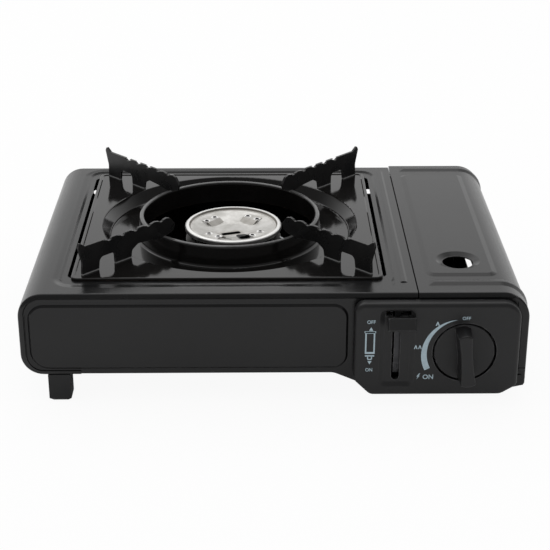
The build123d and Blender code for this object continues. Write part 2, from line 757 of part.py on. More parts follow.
def tube_heading():
    """Unit vector of the mixing tube, level, from the burner to the jet."""
    return (jet_x - burner_x) / jet_reach, (jet_y - ring_y) / jet_reach


def tube_bar(radius, start, end):
    """Round bar along the mixing tube's line, between two distances from the burner's axis."""
    along_x, along_y = tube_heading()
    plane = Plane(
        origin=(burner_x + along_x * start, ring_y + along_y * start, tube_height),
        x_dir=(0, 0, 1),
        z_dir=(along_x, along_y, 0),
    )
    return extrude(plane * Circle(radius), amount=end - start)


def make_mixing_tube():
    """Level tube with a flared mouth and air holes, turned up into the burner bowl."""
    along_x, along_y = tube_heading()
    low = tube_height - tube_radius - 0.5
    tube = tube_bar(tube_radius, 0, tube_length)
    tube += rod_z(burner_x, ring_y, tube_radius + 1.0, low, bowl_bottom + bowl_wall)
    mouth = Plane(
        origin=(burner_x + along_x * tube_length, ring_y + along_y * tube_length, tube_height),
        x_dir=(0, 0, 1),
        z_dir=(along_x, along_y, 0),
    )
    flare = 5.0
    tube += loft([mouth * Circle(tube_radius), mouth.offset(flare) * Circle(bell_radius)])
    bore = mouth.offset(-0.01) * Circle(tube_radius - tube_wall)
    tube -= loft([bore, mouth.offset(flare) * Circle(bell_radius - tube_wall)])
    tube -= tube_bar(tube_radius - tube_wall, 0, tube_length + 0.5)
    tube -= rod_z(burner_x, ring_y, tube_radius + 0.2, low + tube_wall, bowl_bottom + bowl_wall + 1)
    hole = mouth.offset(-14)
    for turn in (0, 90):
        drill = Plane(origin=hole.origin, x_dir=hole.z_dir, z_dir=hole.x_dir if turn == 0 else hole.y_dir)
        tube -= extrude(drill * SlotOverall(9, 4.5), amount=20, both=True)
    return tube


def make_burner_bracket():
    """Bridge from the floor that the burner's elbow stands on."""
    top = tube_height - tube_radius - 0.5
    floor_top = tray_bottom + sheet
    bridge = outline(
        [
            (-30, floor_top),
            (-30, floor_top + 1.2),
            (-14, floor_top + 1.2),
            (-14, top),
            (14, top),
            (14, floor_top + 1.2),
            (30, floor_top + 1.2),
            (30, floor_top),
            (12.8, floor_top),
            (12.8, top - 1.2),
            (-12.8, top - 1.2),
            (-12.8, floor_top),
        ],
        [0] * 12,
    )
    return Pos(burner_x, 0, 0) * slab(bridge, ring_y - 9, ring_y + 9)


def electrode_place():
    """Place of the spark electrode beside the burner's wall."""
    turn = radians(-22)
    return burner_x + 40.5 * cos(turn), ring_y + 40.5 * sin(turn)


def make_electrode():
    """Spark wire that rises from its insulator and leans over to the ports."""
    x, y = electrode_place()
    lean = Vector(burner_x - x, ring_y - y, 0).normalized()
    low, high = bowl_shoulder - 16.0, cap_top - 6.6
    path = FilletPolyline(
        (x, y, low),
        (x, y, high),
        (x + lean.X * 3.6, y + lean.Y * 3.6, high + 1.1),
        radius=1.4,
    )
    return sweep(Plane(origin=(x, y, low), z_dir=(0, 0, 1)) * Circle(0.8), path=path)


def make_insulator():
    """Stepped ceramic sleeve round the spark wire."""
    x, y = electrode_place()
    sleeve = rod_z(x, y, 2.4, bowl_shoulder - 19, bowl_shoulder + 3.6)
    sleeve += rod_z(x, y, 3.4, bowl_shoulder - 8, bowl_shoulder - 2)
    return sleeve - rod_z(x, y, 0.8, bowl_shoulder - 20, bowl_shoulder + 5)


def make_electrode_clip():
    """Strap from the bowl's shoulder that holds the insulator."""
    x, y = electrode_place()
    reach = Vector(burner_x - x, ring_y - y, 0)
    heading = degrees(atan2(reach.Y, reach.X))
    low = bowl_shoulder + 1.6
    strap = Pos(x, y, 0) * Rot(0, 0, heading) * block(2.0, 8.2, -3.2, 3.2, low, low + 1.2)
    strap += rod_z(x, y, 4.2, low, low + 1.2)
    return strap - rod_z(x, y, 2.45, low - 1, low + 2)


def panel_outline(inset):
    """Front outline of the control panel, lower left corner cut to the tray's step."""
    left, right = panel_left + inset, panel_left + panel_width - inset
    low, high = panel_bottom + inset, panel_top - inset
    cut = 11.0
    left_points = [(left, high), (left, low + cut), (left + cut, low)]
    right_points = [(right - cut, low), (right, low + 0.62 * cut), (right, high)]
    return outline(left_points + right_points, [7, 6, 6, 9, 4, 12])


def panel_screw_places():
    """Centres of the bosses that hold the control panel to the tray."""
    right = panel_left + panel_width
    return [
        (panel_left + 7, panel_top - 8),
        (panel_left + 9, panel_bottom + 15),
        (right - 13, panel_top - 8),
        (right - 13, panel_bottom + 10),
    ]


def make_control_panel():
    """Moulded cover with a soft front edge, a sunk lever track and a collared knob opening."""
    back = lid_front - fit_gap
    panel = slab(panel_outline(0), panel_y, back)
    panel = fillet(panel.faces().sort_by(Axis.Y)[0].edges(), panel_edge)
    panel -= slab(panel_outline(panel_wall), panel_y + panel_wall, back + 1)
    track_place = Pos(lever_x + 0.6, slot_middle - 1.4)
    track_length = slot_length + 2 * slot_rim
    dish_y = panel_y + dish_depth
    dish_back = track_place * RectangleRounded(dish_width + 2, track_length + 3, 6)
    panel += slab(dish_back, panel_y + panel_wall - 0.2, dish_y + panel_wall)
    brim = track_place * RectangleRounded(dish_width, track_length, dish_slope + 1.5)
    well = RectangleRounded(dish_width - 2 * dish_slope, track_length - 2 * dish_slope, 1.5)
    panel -= loft([front_plane(panel_y) * brim, front_plane(dish_y) * (track_place * well)], ruled=True)
    slot = Pos(lever_x, slot_middle) * Rot(0, 0, 90) * SlotOverall(slot_length, slot_width)
    panel -= slab(slot, panel_y - 1, back + 1)
    pocket = Pos(lever_x + 1.1, slot_top - 1.3) * Rectangle(16.6, 4.0)
    panel -= slab(pocket, panel_y - 1, panel_y + panel_wall + dish_depth + 1)
    rebate = slab(panel_outline(-1), back - rebate_depth, back + 1)
    panel -= rebate - slab(panel_outline(rebate_drop), back - rebate_depth - 1, back + 2)
    notch = Pos(lever_x + 4.7, panel_top) * Rectangle(12, 2 * rebate_drop + 3)
    panel -= slab(notch, back - rebate_depth, back + 1)
    opening = knob_radius + knob_gap
    panel += rod_y(knob_x, knob_height, opening + 1.5, panel_y + 1, panel_y + knob_thickness - 0.6)
    panel -= rod_y(knob_x, knob_height, opening, panel_y - 1, back + 1)
    for x, z in panel_screw_places():
        panel += rod_y(x, z, 3.6, panel_y + panel_wall - 0.2, wall_y)
        panel -= rod_y(x, z, 1.3, panel_y + panel_wall + 1, wall_y + 1)
    return panel


def make_panel_screws():
    """Screws from inside the tray's front wall into the panel's bosses."""
    screws = []
    for x, z in panel_screw_places():
        screw = rod_y(x, z, 1.3, panel_y + panel_wall + 1.5, wall_y + sheet + 1)
        screws.append(screw + rod_y(x, z, 2.9, wall_y + sheet, wall_y + sheet + 1.8))
    return screws


def grip_outline():
    """Grip bar's outline about the knob's axis: waisted, wider at its foot."""
    half, waist, foot = grip_width / 2, grip_waist / 2, grip_foot / 2
    top, low = knob_radius * 0.96, -knob_radius * 0.97
    left = ThreePointArc((-half, top - 2), (-waist, -2), (-foot, low + 2))
    bottom = ThreePointArc((-foot, low + 2), (0, low), (foot, low + 2))
    right = ThreePointArc((foot, low + 2), (waist, -2), (half, top - 2))
    crown = ThreePointArc((half, top - 2), (0, top), (-half, top - 2))
    return Pos(knob_x, knob_height) * Rot(0, 0, grip_lean_deg) * make_face([left, bottom, right, crown])


def make_knob():
    """Round skirt with a tall grip bar, bored for the spindle."""
    face_y = panel_y + knob_sink
    skirt = rod_y(knob_x, knob_height, knob_radius, face_y, face_y + knob_thickness)
    skirt = chamfer(skirt.faces().sort_by(Axis.Y)[0].edges(), 0.5)
    hollow = rod_y(knob_x, knob_height, knob_radius - 2, face_y + 2.4, face_y + knob_thickness + 1)
    hollow -= rod_y(knob_x, knob_height, 7, face_y, face_y + knob_thickness + 2)
    grip = extrude(front_plane(face_y + 1) * grip_outline(), amount=grip_stand + knob_sink + 1, taper=2.5)
    grip = fillet(grip.faces().sort_by(Axis.Y)[0].edges(), 1.1)
    knob = skirt - hollow + grip
    return knob - rod_y(knob_x, knob_height, spindle_radius, face_y + 2.0, face_y + 30)


def make_spindle():
    """Valve spindle from the regulator to the knob, with a flat at its end."""
    face_y = panel_y + knob_sink
    stem = rod_y(knob_x, knob_height, spindle_radius, face_y + 3.0, regulator_front() + 6)
    cam_y = wall_y + sheet + 2.6
    cam = slab(Pos(knob_x + 2.2, knob_height) * SlotOverall(12.5, 8.0), cam_y, cam_y + 2.5)
    flat = block(knob_x - 4, knob_x + 4, face_y + 2, face_y + 9, knob_height + 2.4, knob_height + 4)
    return stem + cam - flat


def regulator_front():
    """Front face of the regulator's body."""
    return wall_y + 13.0


def make_regulator_body():
    """Die-cast body with a spindle neck, an inlet boss and ears on the stop plate."""
    front = regulator_front()
    back = stop_y - 3.0
    body = rod_y(knob_x, knob_height, regulator_radius, front, front + 16)
    body = chamfer(body.edges().filter_by(GeomType.CIRCLE), 1.2)
    body += rod_y(knob_x, knob_height, 15, front + 15, back)
    body += rod_y(cassette_x, cassette_height, inlet_boss_radius, front + 14, stop_y + 1.6)
    body += slab(Pos(knob_x, knob_height) * SlotOverall(44, 11), back - 4, stop_y)
    body += rod_z(pipe_points()[0][0], pipe_points()[0][1], 4.2, pipe_points()[0][2], knob_height - 8)
    body -= rod_y(cassette_x, cassette_height, inlet_radius, stop_y + 1.6 - inlet_depth, stop_y + 2)
    seat = stop_y + 1.6 - inlet_depth
    body -= rod_y(cassette_x, cassette_height, inlet_radius - 0.6, seat - 1.2, seat + 0.1)
    body -= rod_y(cassette_x, cassette_height, 2.2, stop_y - 14, stop_y)
    return body - rod_y(knob_x, knob_height, spindle_radius + running_gap, front - 1, front + 8)


def make_regulator_cover():
    """Crimped diaphragm cover on the front of the body."""
    front = regulator_front()
    points = [
        (9.0, -5.0),
        (15.0, -5.0),
        (18.5, -1.6),
        (regulator_radius + 0.6, -1.6),
        (regulator_radius + 0.6, 0.0),
        (9.0, 0.0),
    ]
    section = Polygon(*points, align=None)
    dome = revolve(Plane(origin=(0, 0, 0), x_dir=(1, 0, 0), z_dir=(0, 0, 1)) * section, Axis.Y)
    return Pos(knob_x, front, knob_height) * dome


def make_inlet_seal():
    """Ring seal at the bottom of the inlet."""
    seat = stop_y + 1.6 - inlet_depth
    ring = rod_y(cassette_x, cassette_height, inlet_radius - 0.6, seat - 1.2, seat)
    hole = rod_y(cassette_x, cassette_height, 2.2, seat - 2, seat + 1)
    return ring - hole


def make_stop_plate():
    """Upright plate with the collar key that the cassette is pushed against."""
    left, right = partition_x, body_right - sheet - 3
    foot_right = floor_right - sheet - fit_gap
    high = deck_height - seam_flange - 1.5
    plan = outline(
        [
            (left, bay_floor),
            (foot_right, bay_floor),
            (foot_right, bay_floor + 13.5),
            (right, bay_floor + 23.5),
            (right, high - 9.5),
            (right - 10, high),
            (left, high),
        ],
        [0, 0, 4, 4, 4, 4, 0],
    )
    plate = slab(plan, stop_y, stop_y + sheet)
    plate -= rod_y(cassette_x, cassette_height, inlet_boss_radius + 0.5, stop_y - 1, stop_y + 2)
    key = Pos(cassette_x, cassette_height + 16.5) * Rectangle(4.6, 5.0)
    return plate + slab(key, stop_y, stop_y + 3.4)


def make_rails():
    """Two folded rails that carry the cassette above the floor."""
    half = rail_spread / 2
    top = cassette_height - sqrt(cassette_radius**2 - half**2) - 0.2
    rails = []
    for side in (-1, 1):
        x = cassette_x + side * half
        section = outline(
            [
                (x - rail_width / 2, bay_floor),
                (x - rail_width / 2 + 1.0, top),
                (x + rail_width / 2 - 1.0, top),
                (x + rail_width / 2, bay_floor),
            ],
            [0, 0.8, 0.8, 0],
        )
        rails.append(slab(section, stop_y + 12, pusher_y - 14))
    return rails


def pipe_points():
    """Route of the gas pipe: down from the regulator, under the lever, up to the jet holder."""
    port_x = knob_x - 14
    port_y = regulator_front() + 9
    return [
        (port_x, port_y, knob_height - regulator_radius + 2),
        (port_x, port_y, gas_pipe_low),
        (jet_x, jet_y, gas_pipe_low),
        (jet_x, jet_y, tube_height - 5),
    ]


def pipe_crossing_y():
    """Where the gas pipe goes through the partition."""
    start, end = pipe_points()[1], pipe_points()[2]
    share = (start[0] - partition_x) / (start[0] - end[0])
    return start[1] + share * (end[1] - start[1])


def make_gas_pipe():
    """Drawn aluminium pipe from the regulator to the jet holder."""
    points = pipe_points()
    path = FilletPolyline(*points, radius=5.5)
    start = Plane(origin=points[0], z_dir=(0, 0, -1))
    return sweep(start * Circle(gas_pipe_radius), path=path)


def make_jet_holder():
    """Brass block with the jet, on a folded foot."""
    holder = tube_bar(6.5, tube_length + 7.5, tube_length + 21.5)
    holder += tube_bar(4.0, tube_length + 21.0, tube_length + 22.7)
    holder += tube_bar(3.0, tube_length + 2.0, tube_length + 8)
    holder -= tube_bar(0.6, tube_length, tube_length + 12)
    return holder - rod_z(jet_x, jet_y, gas_pipe_radius, gas_pipe_low, tube_height - 5)


def make_jet_bracket():
    """Folded strap that carries the jet holder from the deep floor."""
    along_x, along_y = tube_heading()
    heading = degrees(atan2(along_y, along_x))
    origin = Pos(jet_x, jet_y, 0) * Rot(0, 0, heading)
    upright = block(8.0, 9.2, -5.5, 5.5, bay_floor, tube_height + 9)
    foot = block(8.0, 15.0, -5.5, 5.5, bay_floor, bay_floor + 1.2)
    strap = origin * (upright + foot)
    strap -= tube_bar(4.0, tube_length + 20, tube_length + 24)
    start, end = pipe_points()[1], pipe_points()[2]
    run = Vector(*end) - Vector(*start)
    hole = Plane(origin=start, z_dir=run) * Circle(gas_pipe_radius + 1.0)
    return strap - extrude(hole, amount=run.length)


def igniter_place():
    """Axis of the spark igniter, beside the regulator."""
    return knob_x + regulator_radius + igniter_radius + 1.6, knob_height + 5


def make_igniter():
    """Spark igniter with its plunger on the cam's side."""
    x, z = igniter_place()
    front = wall_y + 6.5
    case = rod_y(x, z, igniter_radius, front + 3, stop_y)
    case += slab(Pos(x, z) * RegularPolygon(igniter_radius + 1.4, 6), front + 8, front + 13)
    case += rod_y(x, z, 3.2, front, front + 4)
    case += rod_z(x, wire_points()[0][1], 2.4, wire_points()[0][2], z)
    return case


def wire_points():
    """Route of the spark lead, from the igniter's side under the lever to the electrode."""
    x, z = igniter_place()
    start_y = stop_y - 6.0
    end_x, end_y = electrode_place()
    halfway = Vector(burner_x + 0.64 * (jet_x - burner_x), ring_y + 0.46 * (jet_y - ring_y), 25.0)
    return [
        (x, start_y, z - igniter_radius - 3.0),
        (x, start_y, 18.5),
        (knob_x, start_y - 1.0, 16.5),
        (partition_x, start_y + 1.5, 19.0),
        (jet_x - 4.4, stop_y + 9.0, 20.5),
        (halfway.X, halfway.Y, halfway.Z),
        (end_x, end_y, 27.5),
        (end_x, end_y, bowl_shoulder - 19.0),
    ]


def make_igniter_wire():
    """Insulated spark lead along its clips, with bends as wide as its runs allow."""
    points = [Vector(*point) for point in wire_points()]
    radii = []
    for before, corner, after in zip(points, points[1:], points[2:]):
        run_in, run_out = corner - before, after - corner
        half_turn = radians(run_in.get_angle(run_out)) / 2
        radii.append(0.4 * min(run_in.length, run_out.length) / tan(half_turn))
    path = FilletPolyline(*points, radius=[min(radius, 60) for radius in radii])
    start = Plane(origin=points[0], z_dir=points[1] - points[0])
    return sweep(start * Circle(wire_radius), path=path)


def lever_frame():
    """Turn about the lever's pivot from the middle of its swing to the raised rest position."""
    pivot = Pos(0, lever_pivot_y, lever_pivot_height)
    return pivot * Rot(-lever_swing_deg / 2, 0, 0)


def make_lever_head():
    """Moulded finger piece, hollow over the end of the lever plate."""
    inner = lever_reach - head_depth / 2
    left = lever_x - head_left
    head = block(left, left + head_width, -inner - head_depth, -inner, -head_height / 2, head_height / 2)
    head = fillet(head.faces().sort_by(Axis.Y)[0].edges(), 1.0)
    tongue = block(lever_plate_x(), lever_plate_x() + arm_plate, -inner - 4, -inner + 9, -2.6, 2.6)
    return lever_frame() * (head - tongue)


def lever_plate_x():
    """Left face of the lever plate inside the slot."""
    return lever_x - slot_width / 2 + fit_gap


def make_lever_arm():
    """Steel plate with its pivot eye, its tongue and the crank that drives the rod."""
    tip = lever_reach + head_depth / 2 - 2.0
    section = outline(
        [
            (-tip, -2.6),
            (-tip, 2.6),
            (-44, 2.6),
            (-20, 5.0),
            (-4.5, 7.0),
            (-4.0, crank_length + 3.5),
            (4.0, crank_length + 3.5),
            (6.5, -6.0),
            (-20, -5.0),
            (-44, -2.6),
        ],
        [0, 0, 4, 8, 2, 3.5, 3.5, 5, 8, 4],
    )
    plate = side_slab(section, lever_plate_x(), lever_plate_x() + arm_plate)
    plate -= rod_x(0, 0, pivot_pin_radius + running_gap, lever_x - 9, lever_x + 9)
    plate -= rod_x(0, crank_length, crank_pin_radius, lever_x - 9, lever_x + 9)
    return lever_frame() * plate


def make_crank_pin():
    """Rivet that ties the crank to the push rod."""
    left = lever_plate_x() - fit_gap - rod_sheet - fit_gap - 0.8
    right = lever_plate_x() + arm_plate
    pin = rod_x(0, crank_length, crank_pin_radius, left, right)
    pin += rod_x(0, crank_length, 2.6, left, left + 0.8)
    return lever_frame() * pin


def make_lever_pin():
    """Pivot pin across the bracket."""
    left = lever_plate_x() - 1.4
    right = bracket_x() + 1.2 + 1.0
    pin = rod_x(lever_pivot_y, lever_pivot_height, pivot_pin_radius, left, right)
    return pin + rod_x(lever_pivot_y, lever_pivot_height, 3.6, left, lever_plate_x() - fit_gap)


def bracket_x():
    """Left face of the lever bracket's main plate."""
    return lever_x + 1.6


def make_lever_bracket():
    """Plated bracket: guide strip behind the slot, main plate, and a tab that shows over the panel."""
    left = bracket_x()
    right = left + 1.2
    low, high = lever_pivot_height - 19.5, deck_height - 9.0
    strip_y = panel_y + dish_depth + panel_wall + 0.8
    strip_left = lever_plate_x() + arm_plate + fit_gap
    main = block(left, right, strip_y, lever_pivot_y + 9, low, high)
    hole = Pos(lever_pivot_y - 22, lever_pivot_height) * SlotOverall(24, 10)
    main -= side_slab(hole, left - 1, right + 1)
    guide = block(strip_left, right, strip_y, strip_y + 1.2, low + 4.5, high)
    guide += block(strip_left, right, strip_y + 2.4, strip_y + 3.6, low - 3.5, low + 3.7)
    ears = block(right - 0.2, partition_x - sheet, lever_pivot_y + 1, lever_pivot_y + 9, low, low + 1.2)
    ears += block(right - 0.2, partition_x - sheet, lever_pivot_y + 1, lever_pivot_y + 9, high - 1.2, high)
    tab_x = lever_x + 5.3
    tab_z = deck_height - 7.0
    tab = block(tab_x - 2.4, tab_x + 2.4, front_y - 1.7, wall_y + 5, tab_z - 0.6, tab_z + 0.6)
    tab += block(tab_x - 2.4, tab_x + 2.4, front_y - 1.7, front_y - 0.7, tab_z - 0.6, panel_top - 0.9)
    riser = block(right - 0.2, tab_x + 2.4, wall_y + 4, wall_y + 5, high - 6, tab_z + 0.6)
    bracket = main + guide + ears + tab + riser
    return bracket - rod_x(lever_pivot_y, lever_pivot_height, pivot_pin_radius, left - 1, right + 1)


def rod_place():
    """Rod's X face and height, from the crank pin at the middle of the swing."""
    return lever_plate_x() - fit_gap - rod_sheet, lever_pivot_height + crank_length * 0.98


def rod_tab_y():
    """Front face of the rod's cross tab at rest."""
    return pusher_y + 1.6


def make_push_rod():
    """Flat rod along the partition with a slotted eye, turned across into the bay."""
    left, middle = rod_place()
    half = rod_height / 2
    rest_y = lever_pivot_y + crank_length * sin(radians(lever_swing_deg / 2))
    tab_y = rod_tab_y()
    rod = block(left, left + rod_sheet, rest_y - 6, tab_y + rod_sheet, middle - half, middle + half)
    rod += block(left, cassette_x - 10, tab_y, tab_y + rod_sheet, middle - half, middle + half)
    sweep_rise = crank_length * (1 - cos(radians(lever_swing_deg / 2)))
    eye = Rectangle(2 * crank_pin_radius + 0.5, 2 * crank_pin_radius + 2 * sweep_rise + 1.2)
    return rod - side_slab(Pos(rest_y, middle) * eye, left - 1, left + rod_sheet + 1)


def make_pusher_plate():
    """Plate that bears on the cassette's base."""
    plan = Pos(cassette_x, cassette_height) * RectangleRounded(46, 50, 10)
    plate = slab(plan, pusher_y, pusher_y + rod_sheet)
    plate += slab(Pos(cassette_x, cassette_height) * Circle(14), pusher_y - 0.8, pusher_y + 0.2)
    return plate


def make_left_foot(y):
    """Tall moulded foot under the shell's curl."""
    x = body_left + foot_from_left
    section = outline(
        [
            (x, case_bottom),
            (x, 0),
            (x + foot_width, 0),
            (x + foot_width, case_bottom),
        ],
        [0, 0, 0, 0],
    )
    foot = slab(section, y, y + foot_depth)
    return chamfer(foot.faces().sort_by(Axis.Z)[0].edges(), foot_chamfer)


def make_right_foot(y):
    """Short moulded foot under the deep floor."""
    x = floor_right - foot_width - 14
    foot = block(x, x + foot_width, y, y + foot_depth, 0, bay_bottom)
    return chamfer(foot.faces().sort_by(Axis.Z)[0].edges(), foot_chamfer / 2)


def foot_rows():
    """Front faces of the front and rear feet on each side."""
    left = [front_y + foot_setback, rear_y - foot_setback - foot_depth]
    right = [front_y + right_foot_setback, rear_y - right_foot_setback - foot_depth]
    return left, right


def make_foot_screws():
    """Screws up through the feet, heads sunk in their soles."""
    left_rows, right_rows = foot_rows()
    screws = []
    for rows, x, reach in (
        (left_rows, body_left + foot_from_left + foot_width / 2, tray_bottom + 3),
        (right_rows, floor_right - 14 - foot_width / 2, bay_floor + 2),
    ):
        for y in rows:
            shank = rod_z(x, y + foot_depth / 2, 1.5, 2.5, reach)
            screws.append(shank + rod_z(x, y + foot_depth / 2, 2.8, 1.0, 2.6))
    return screws


def screw_holes(piece):
    """Piece with the foot screws' own space taken out."""
    for screw in make_foot_screws():
        piece = piece - screw
    return piece


def sole_hole(foot, x, y):
    """Foot with the hole that its screw goes up through."""
    return foot - rod_z(x, y, 3.0, -1, 2.6) - rod_z(x, y, 1.5, 2, 30)


def write(name, shape):
    """Write one node's solids to its own file."""
    solids = shape if isinstance(shape, list) else [shape]
    parts = [solid for item in solids for solid in item.solids()]
    whole = parts[0] if len(parts) == 1 else Compound(children=parts)
    export_step(whole, f"parts/{name}.step")


def write_all():
    """Build every node and write it."""
    write("base_tray", screw_holes(make_base_tray()))
    write("top_shell", screw_holes(make_top_shell()))
    write("bay_partition", make_bay_partition())
    write("cartridge_lid", make_lid())
    write("lid_hinge_pins", make_hinge_pins())
    write("drip_pan", make_drip_pan())
    for name, turn in (("rear_right", 45), ("rear_left", 135), ("front_left", 225), ("front_right", 315)):
        write(f"pan_support_{name}", make_arm(turn))
    write("burner_body", make_burner_body())
    write("burner_cap", make_burner_cap())
    write("mixing_tube", make_mixing_tube())
    write("burner_bracket", make_burner_bracket())
    write("spark_electrode", make_electrode())
    write("electrode_insulator", make_insulator())
    write("electrode_clip", make_electrode_clip())
    write("control_panel", make_control_panel())
    write("panel_screws", make_panel_screws())
    write("knob", make_knob())
    write("valve_spindle", make_spindle())
    write("regulator_body", make_regulator_body())
    write("regulator_cover", make_regulator_cover())
    write("inlet_seal", make_inlet_seal())
    write("cartridge_stop_plate", make_stop_plate())
    write("cartridge_rails", make_rails())
    write("gas_pipe", make_gas_pipe())
    write("jet_holder", make_jet_holder())
    write("jet_bracket", make_jet_bracket())
    write("spark_igniter", make_igniter())
    write("igniter_wire", make_igniter_wire())
    write("lever_head", make_lever_head())
    write("lever_arm", make_lever_arm())
    write("crank_pin", make_crank_pin())
    write("lever_pin", make_lever_pin())
    write("lever_bracket", make_lever_bracket())
    write("push_rod", make_push_rod())
    write("pusher_plate", make_pusher_plate())
    left_rows, right_rows = foot_rows()
    left_x = body_left + foot_from_left + foot_width / 2
    right_x = floor_right - 14 - foot_width / 2
    for name, row in (("front", 0), ("rear", 1)):
        left = make_left_foot(left_rows[row])
        right = make_right_foot(right_rows[row])
        write(f"foot_{name}_left", sole_hole(left, left_x, left_rows[row] + foot_depth / 2))
        write(f"foot_{name}_right", sole_hole(right, right_x, right_rows[row] + foot_depth / 2))
    write("foot_screws", make_foot_screws())


write_all()
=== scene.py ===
import json
import math

import bmesh
import bpy
import numpy as np
from mathutils import Euler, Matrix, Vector


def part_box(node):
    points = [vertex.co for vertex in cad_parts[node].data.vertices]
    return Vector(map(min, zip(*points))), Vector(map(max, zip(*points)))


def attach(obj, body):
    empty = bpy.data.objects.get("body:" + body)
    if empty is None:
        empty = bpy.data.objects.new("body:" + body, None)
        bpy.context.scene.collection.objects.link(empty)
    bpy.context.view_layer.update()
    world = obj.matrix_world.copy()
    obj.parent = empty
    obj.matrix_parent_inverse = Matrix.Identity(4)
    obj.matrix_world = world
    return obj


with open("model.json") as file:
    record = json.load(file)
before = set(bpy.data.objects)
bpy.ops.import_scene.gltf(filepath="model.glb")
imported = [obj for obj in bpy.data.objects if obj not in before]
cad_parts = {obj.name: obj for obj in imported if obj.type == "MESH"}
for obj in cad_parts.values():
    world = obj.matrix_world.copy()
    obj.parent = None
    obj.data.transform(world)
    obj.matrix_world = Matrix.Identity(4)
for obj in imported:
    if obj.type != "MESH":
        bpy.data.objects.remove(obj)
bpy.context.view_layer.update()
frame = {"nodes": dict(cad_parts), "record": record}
mm = 0.001
print("frame loaded:", len(frame["nodes"]), "solids")


# Adds a node with its plain settings. Each named input takes a value, or a link from another node's output.
def put(tree, kind, values=None, **settings):
    node = tree.nodes.new(kind)
    for key, value in settings.items():
        setattr(node, key, value)
    for key, value in (values or {}).items():
        if isinstance(value, bpy.types.NodeSocket):
            tree.links.new(value, node.inputs[key])
        else:
            node.inputs[key].default_value = value
    return node


# Result of one sum on sockets or plain numbers.
def maths(tree, operation, *terms, clamp=False):
    node = put(tree, "ShaderNodeMath", dict(enumerate(terms)), operation=operation, use_clamp=clamp)
    return node.outputs[0]


# Value carried from the range start to end over to the range low to high, and held at its ends.
def ranged(tree, value, start, end, low=0.0, high=1.0, curve="LINEAR"):
    limits = {"From Min": start, "From Max": end, "To Min": low, "To Max": high}
    node = put(tree, "ShaderNodeMapRange", {"Value": value, **limits}, interpolation_type=curve)
    return node.outputs["Result"]


# The X, Y and Z of a vector.
def parted(tree, vector):
    return put(tree, "ShaderNodeSeparateXYZ", {0: vector}).outputs


# Vector in the XY plane.
def flatVector(tree, across, along):
    return put(tree, "ShaderNodeCombineXYZ", {"X": across, "Y": along}).outputs[0]


def lengthOf(tree, vector):
    return put(tree, "ShaderNodeVectorMath", {0: vector}, operation="LENGTH").outputs["Value"]


def objectPlace(tree):
    return put(tree, "ShaderNodeTexCoord").outputs["Object"]


def trueNormal(tree):
    return put(tree, "ShaderNodeNewGeometry").outputs["Normal"]


def noiseAt(tree, place, values):
    return put(tree, "ShaderNodeTexNoise", {"Vector": place, **values}).outputs["Fac"]


def numberMix(tree, share, first, second):
    return put(tree, "ShaderNodeMix", {0: share, 2: first, 3: second}, data_type="FLOAT").outputs[0]


# Goes from the first colour to the second by a mask; each is a socket or a plain colour.
def colourMix(tree, mask, first, second):
    ends = [(*colour, 1.0) if isinstance(colour, tuple) else colour for colour in (first, second)]
    return put(tree, "ShaderNodeMix", {0: mask, 6: ends[0], 7: ends[1]}, data_type="RGBA").outputs[2]


def useGroup(tree, group, values, output):
    return put(tree, "ShaderNodeGroup", values, node_tree=group).outputs[output]


def startMaterial(name):
    material = bpy.data.materials.new(name)
    material.use_nodes = True
    material.node_tree.nodes.clear()
    return material, material.node_tree


# Camera, floor and light
studio = {
    "cameraPlace": (-0.00815, -0.9618, 0.4735),
    "cameraTilt": 65.91,  # degrees from looking straight down
    "cameraTurn": -0.5575,
    "lens": 93.13,
    "sensor": 36.0,
    "clip": (0.01, 50.0),
    "floorHalf": 6.0,
    "floorColour": (0.95, 0.95, 0.95),
    "floorLift": 0.93,  # share of plain white that the camera sees on the floor
    "worldFill": 0.72,
    "frontLevel": 0.22,  # how bright the room overhead and behind the user looks in gloss
    "frontFade": (0.05, 0.75),  # Y of a direction over which that room turns white towards the rear
    "keyPlace": (-0.35, 0.60, 1.60),
    "keyAim": (0.0, 0.0, 0.04),
    "keySize": 2.2,
    "keyPower": 9.0,
}


def link(piece):
    bpy.context.scene.collection.objects.link(piece)


def makeCamera(s):
    data = bpy.data.cameras.new("viewCamera")
    data.sensor_width = s["sensor"]
    data.lens = s["lens"]
    data.clip_start, data.clip_end = s["clip"]
    camera = bpy.data.objects.new("viewCamera", data)
    camera.location = s["cameraPlace"]
    camera.rotation_euler = Euler((math.radians(s["cameraTilt"]), 0.0, math.radians(s["cameraTurn"])))
    link(camera)
    bpy.context.scene.camera = camera


def makeLamp(s):
    data = bpy.data.lights.new("keyLamp", "AREA")
    data.shape = "DISK"
    data.size = s["keySize"]
    data.energy = s["keyPower"]
    lamp = bpy.data.objects.new("keyLamp", data)
    lamp.location = s["keyPlace"]
    aim = Vector(s["keyAim"]) - Vector(s["keyPlace"])
    lamp.rotation_euler = aim.to_track_quat("-Z", "Y").to_euler()
    link(lamp)


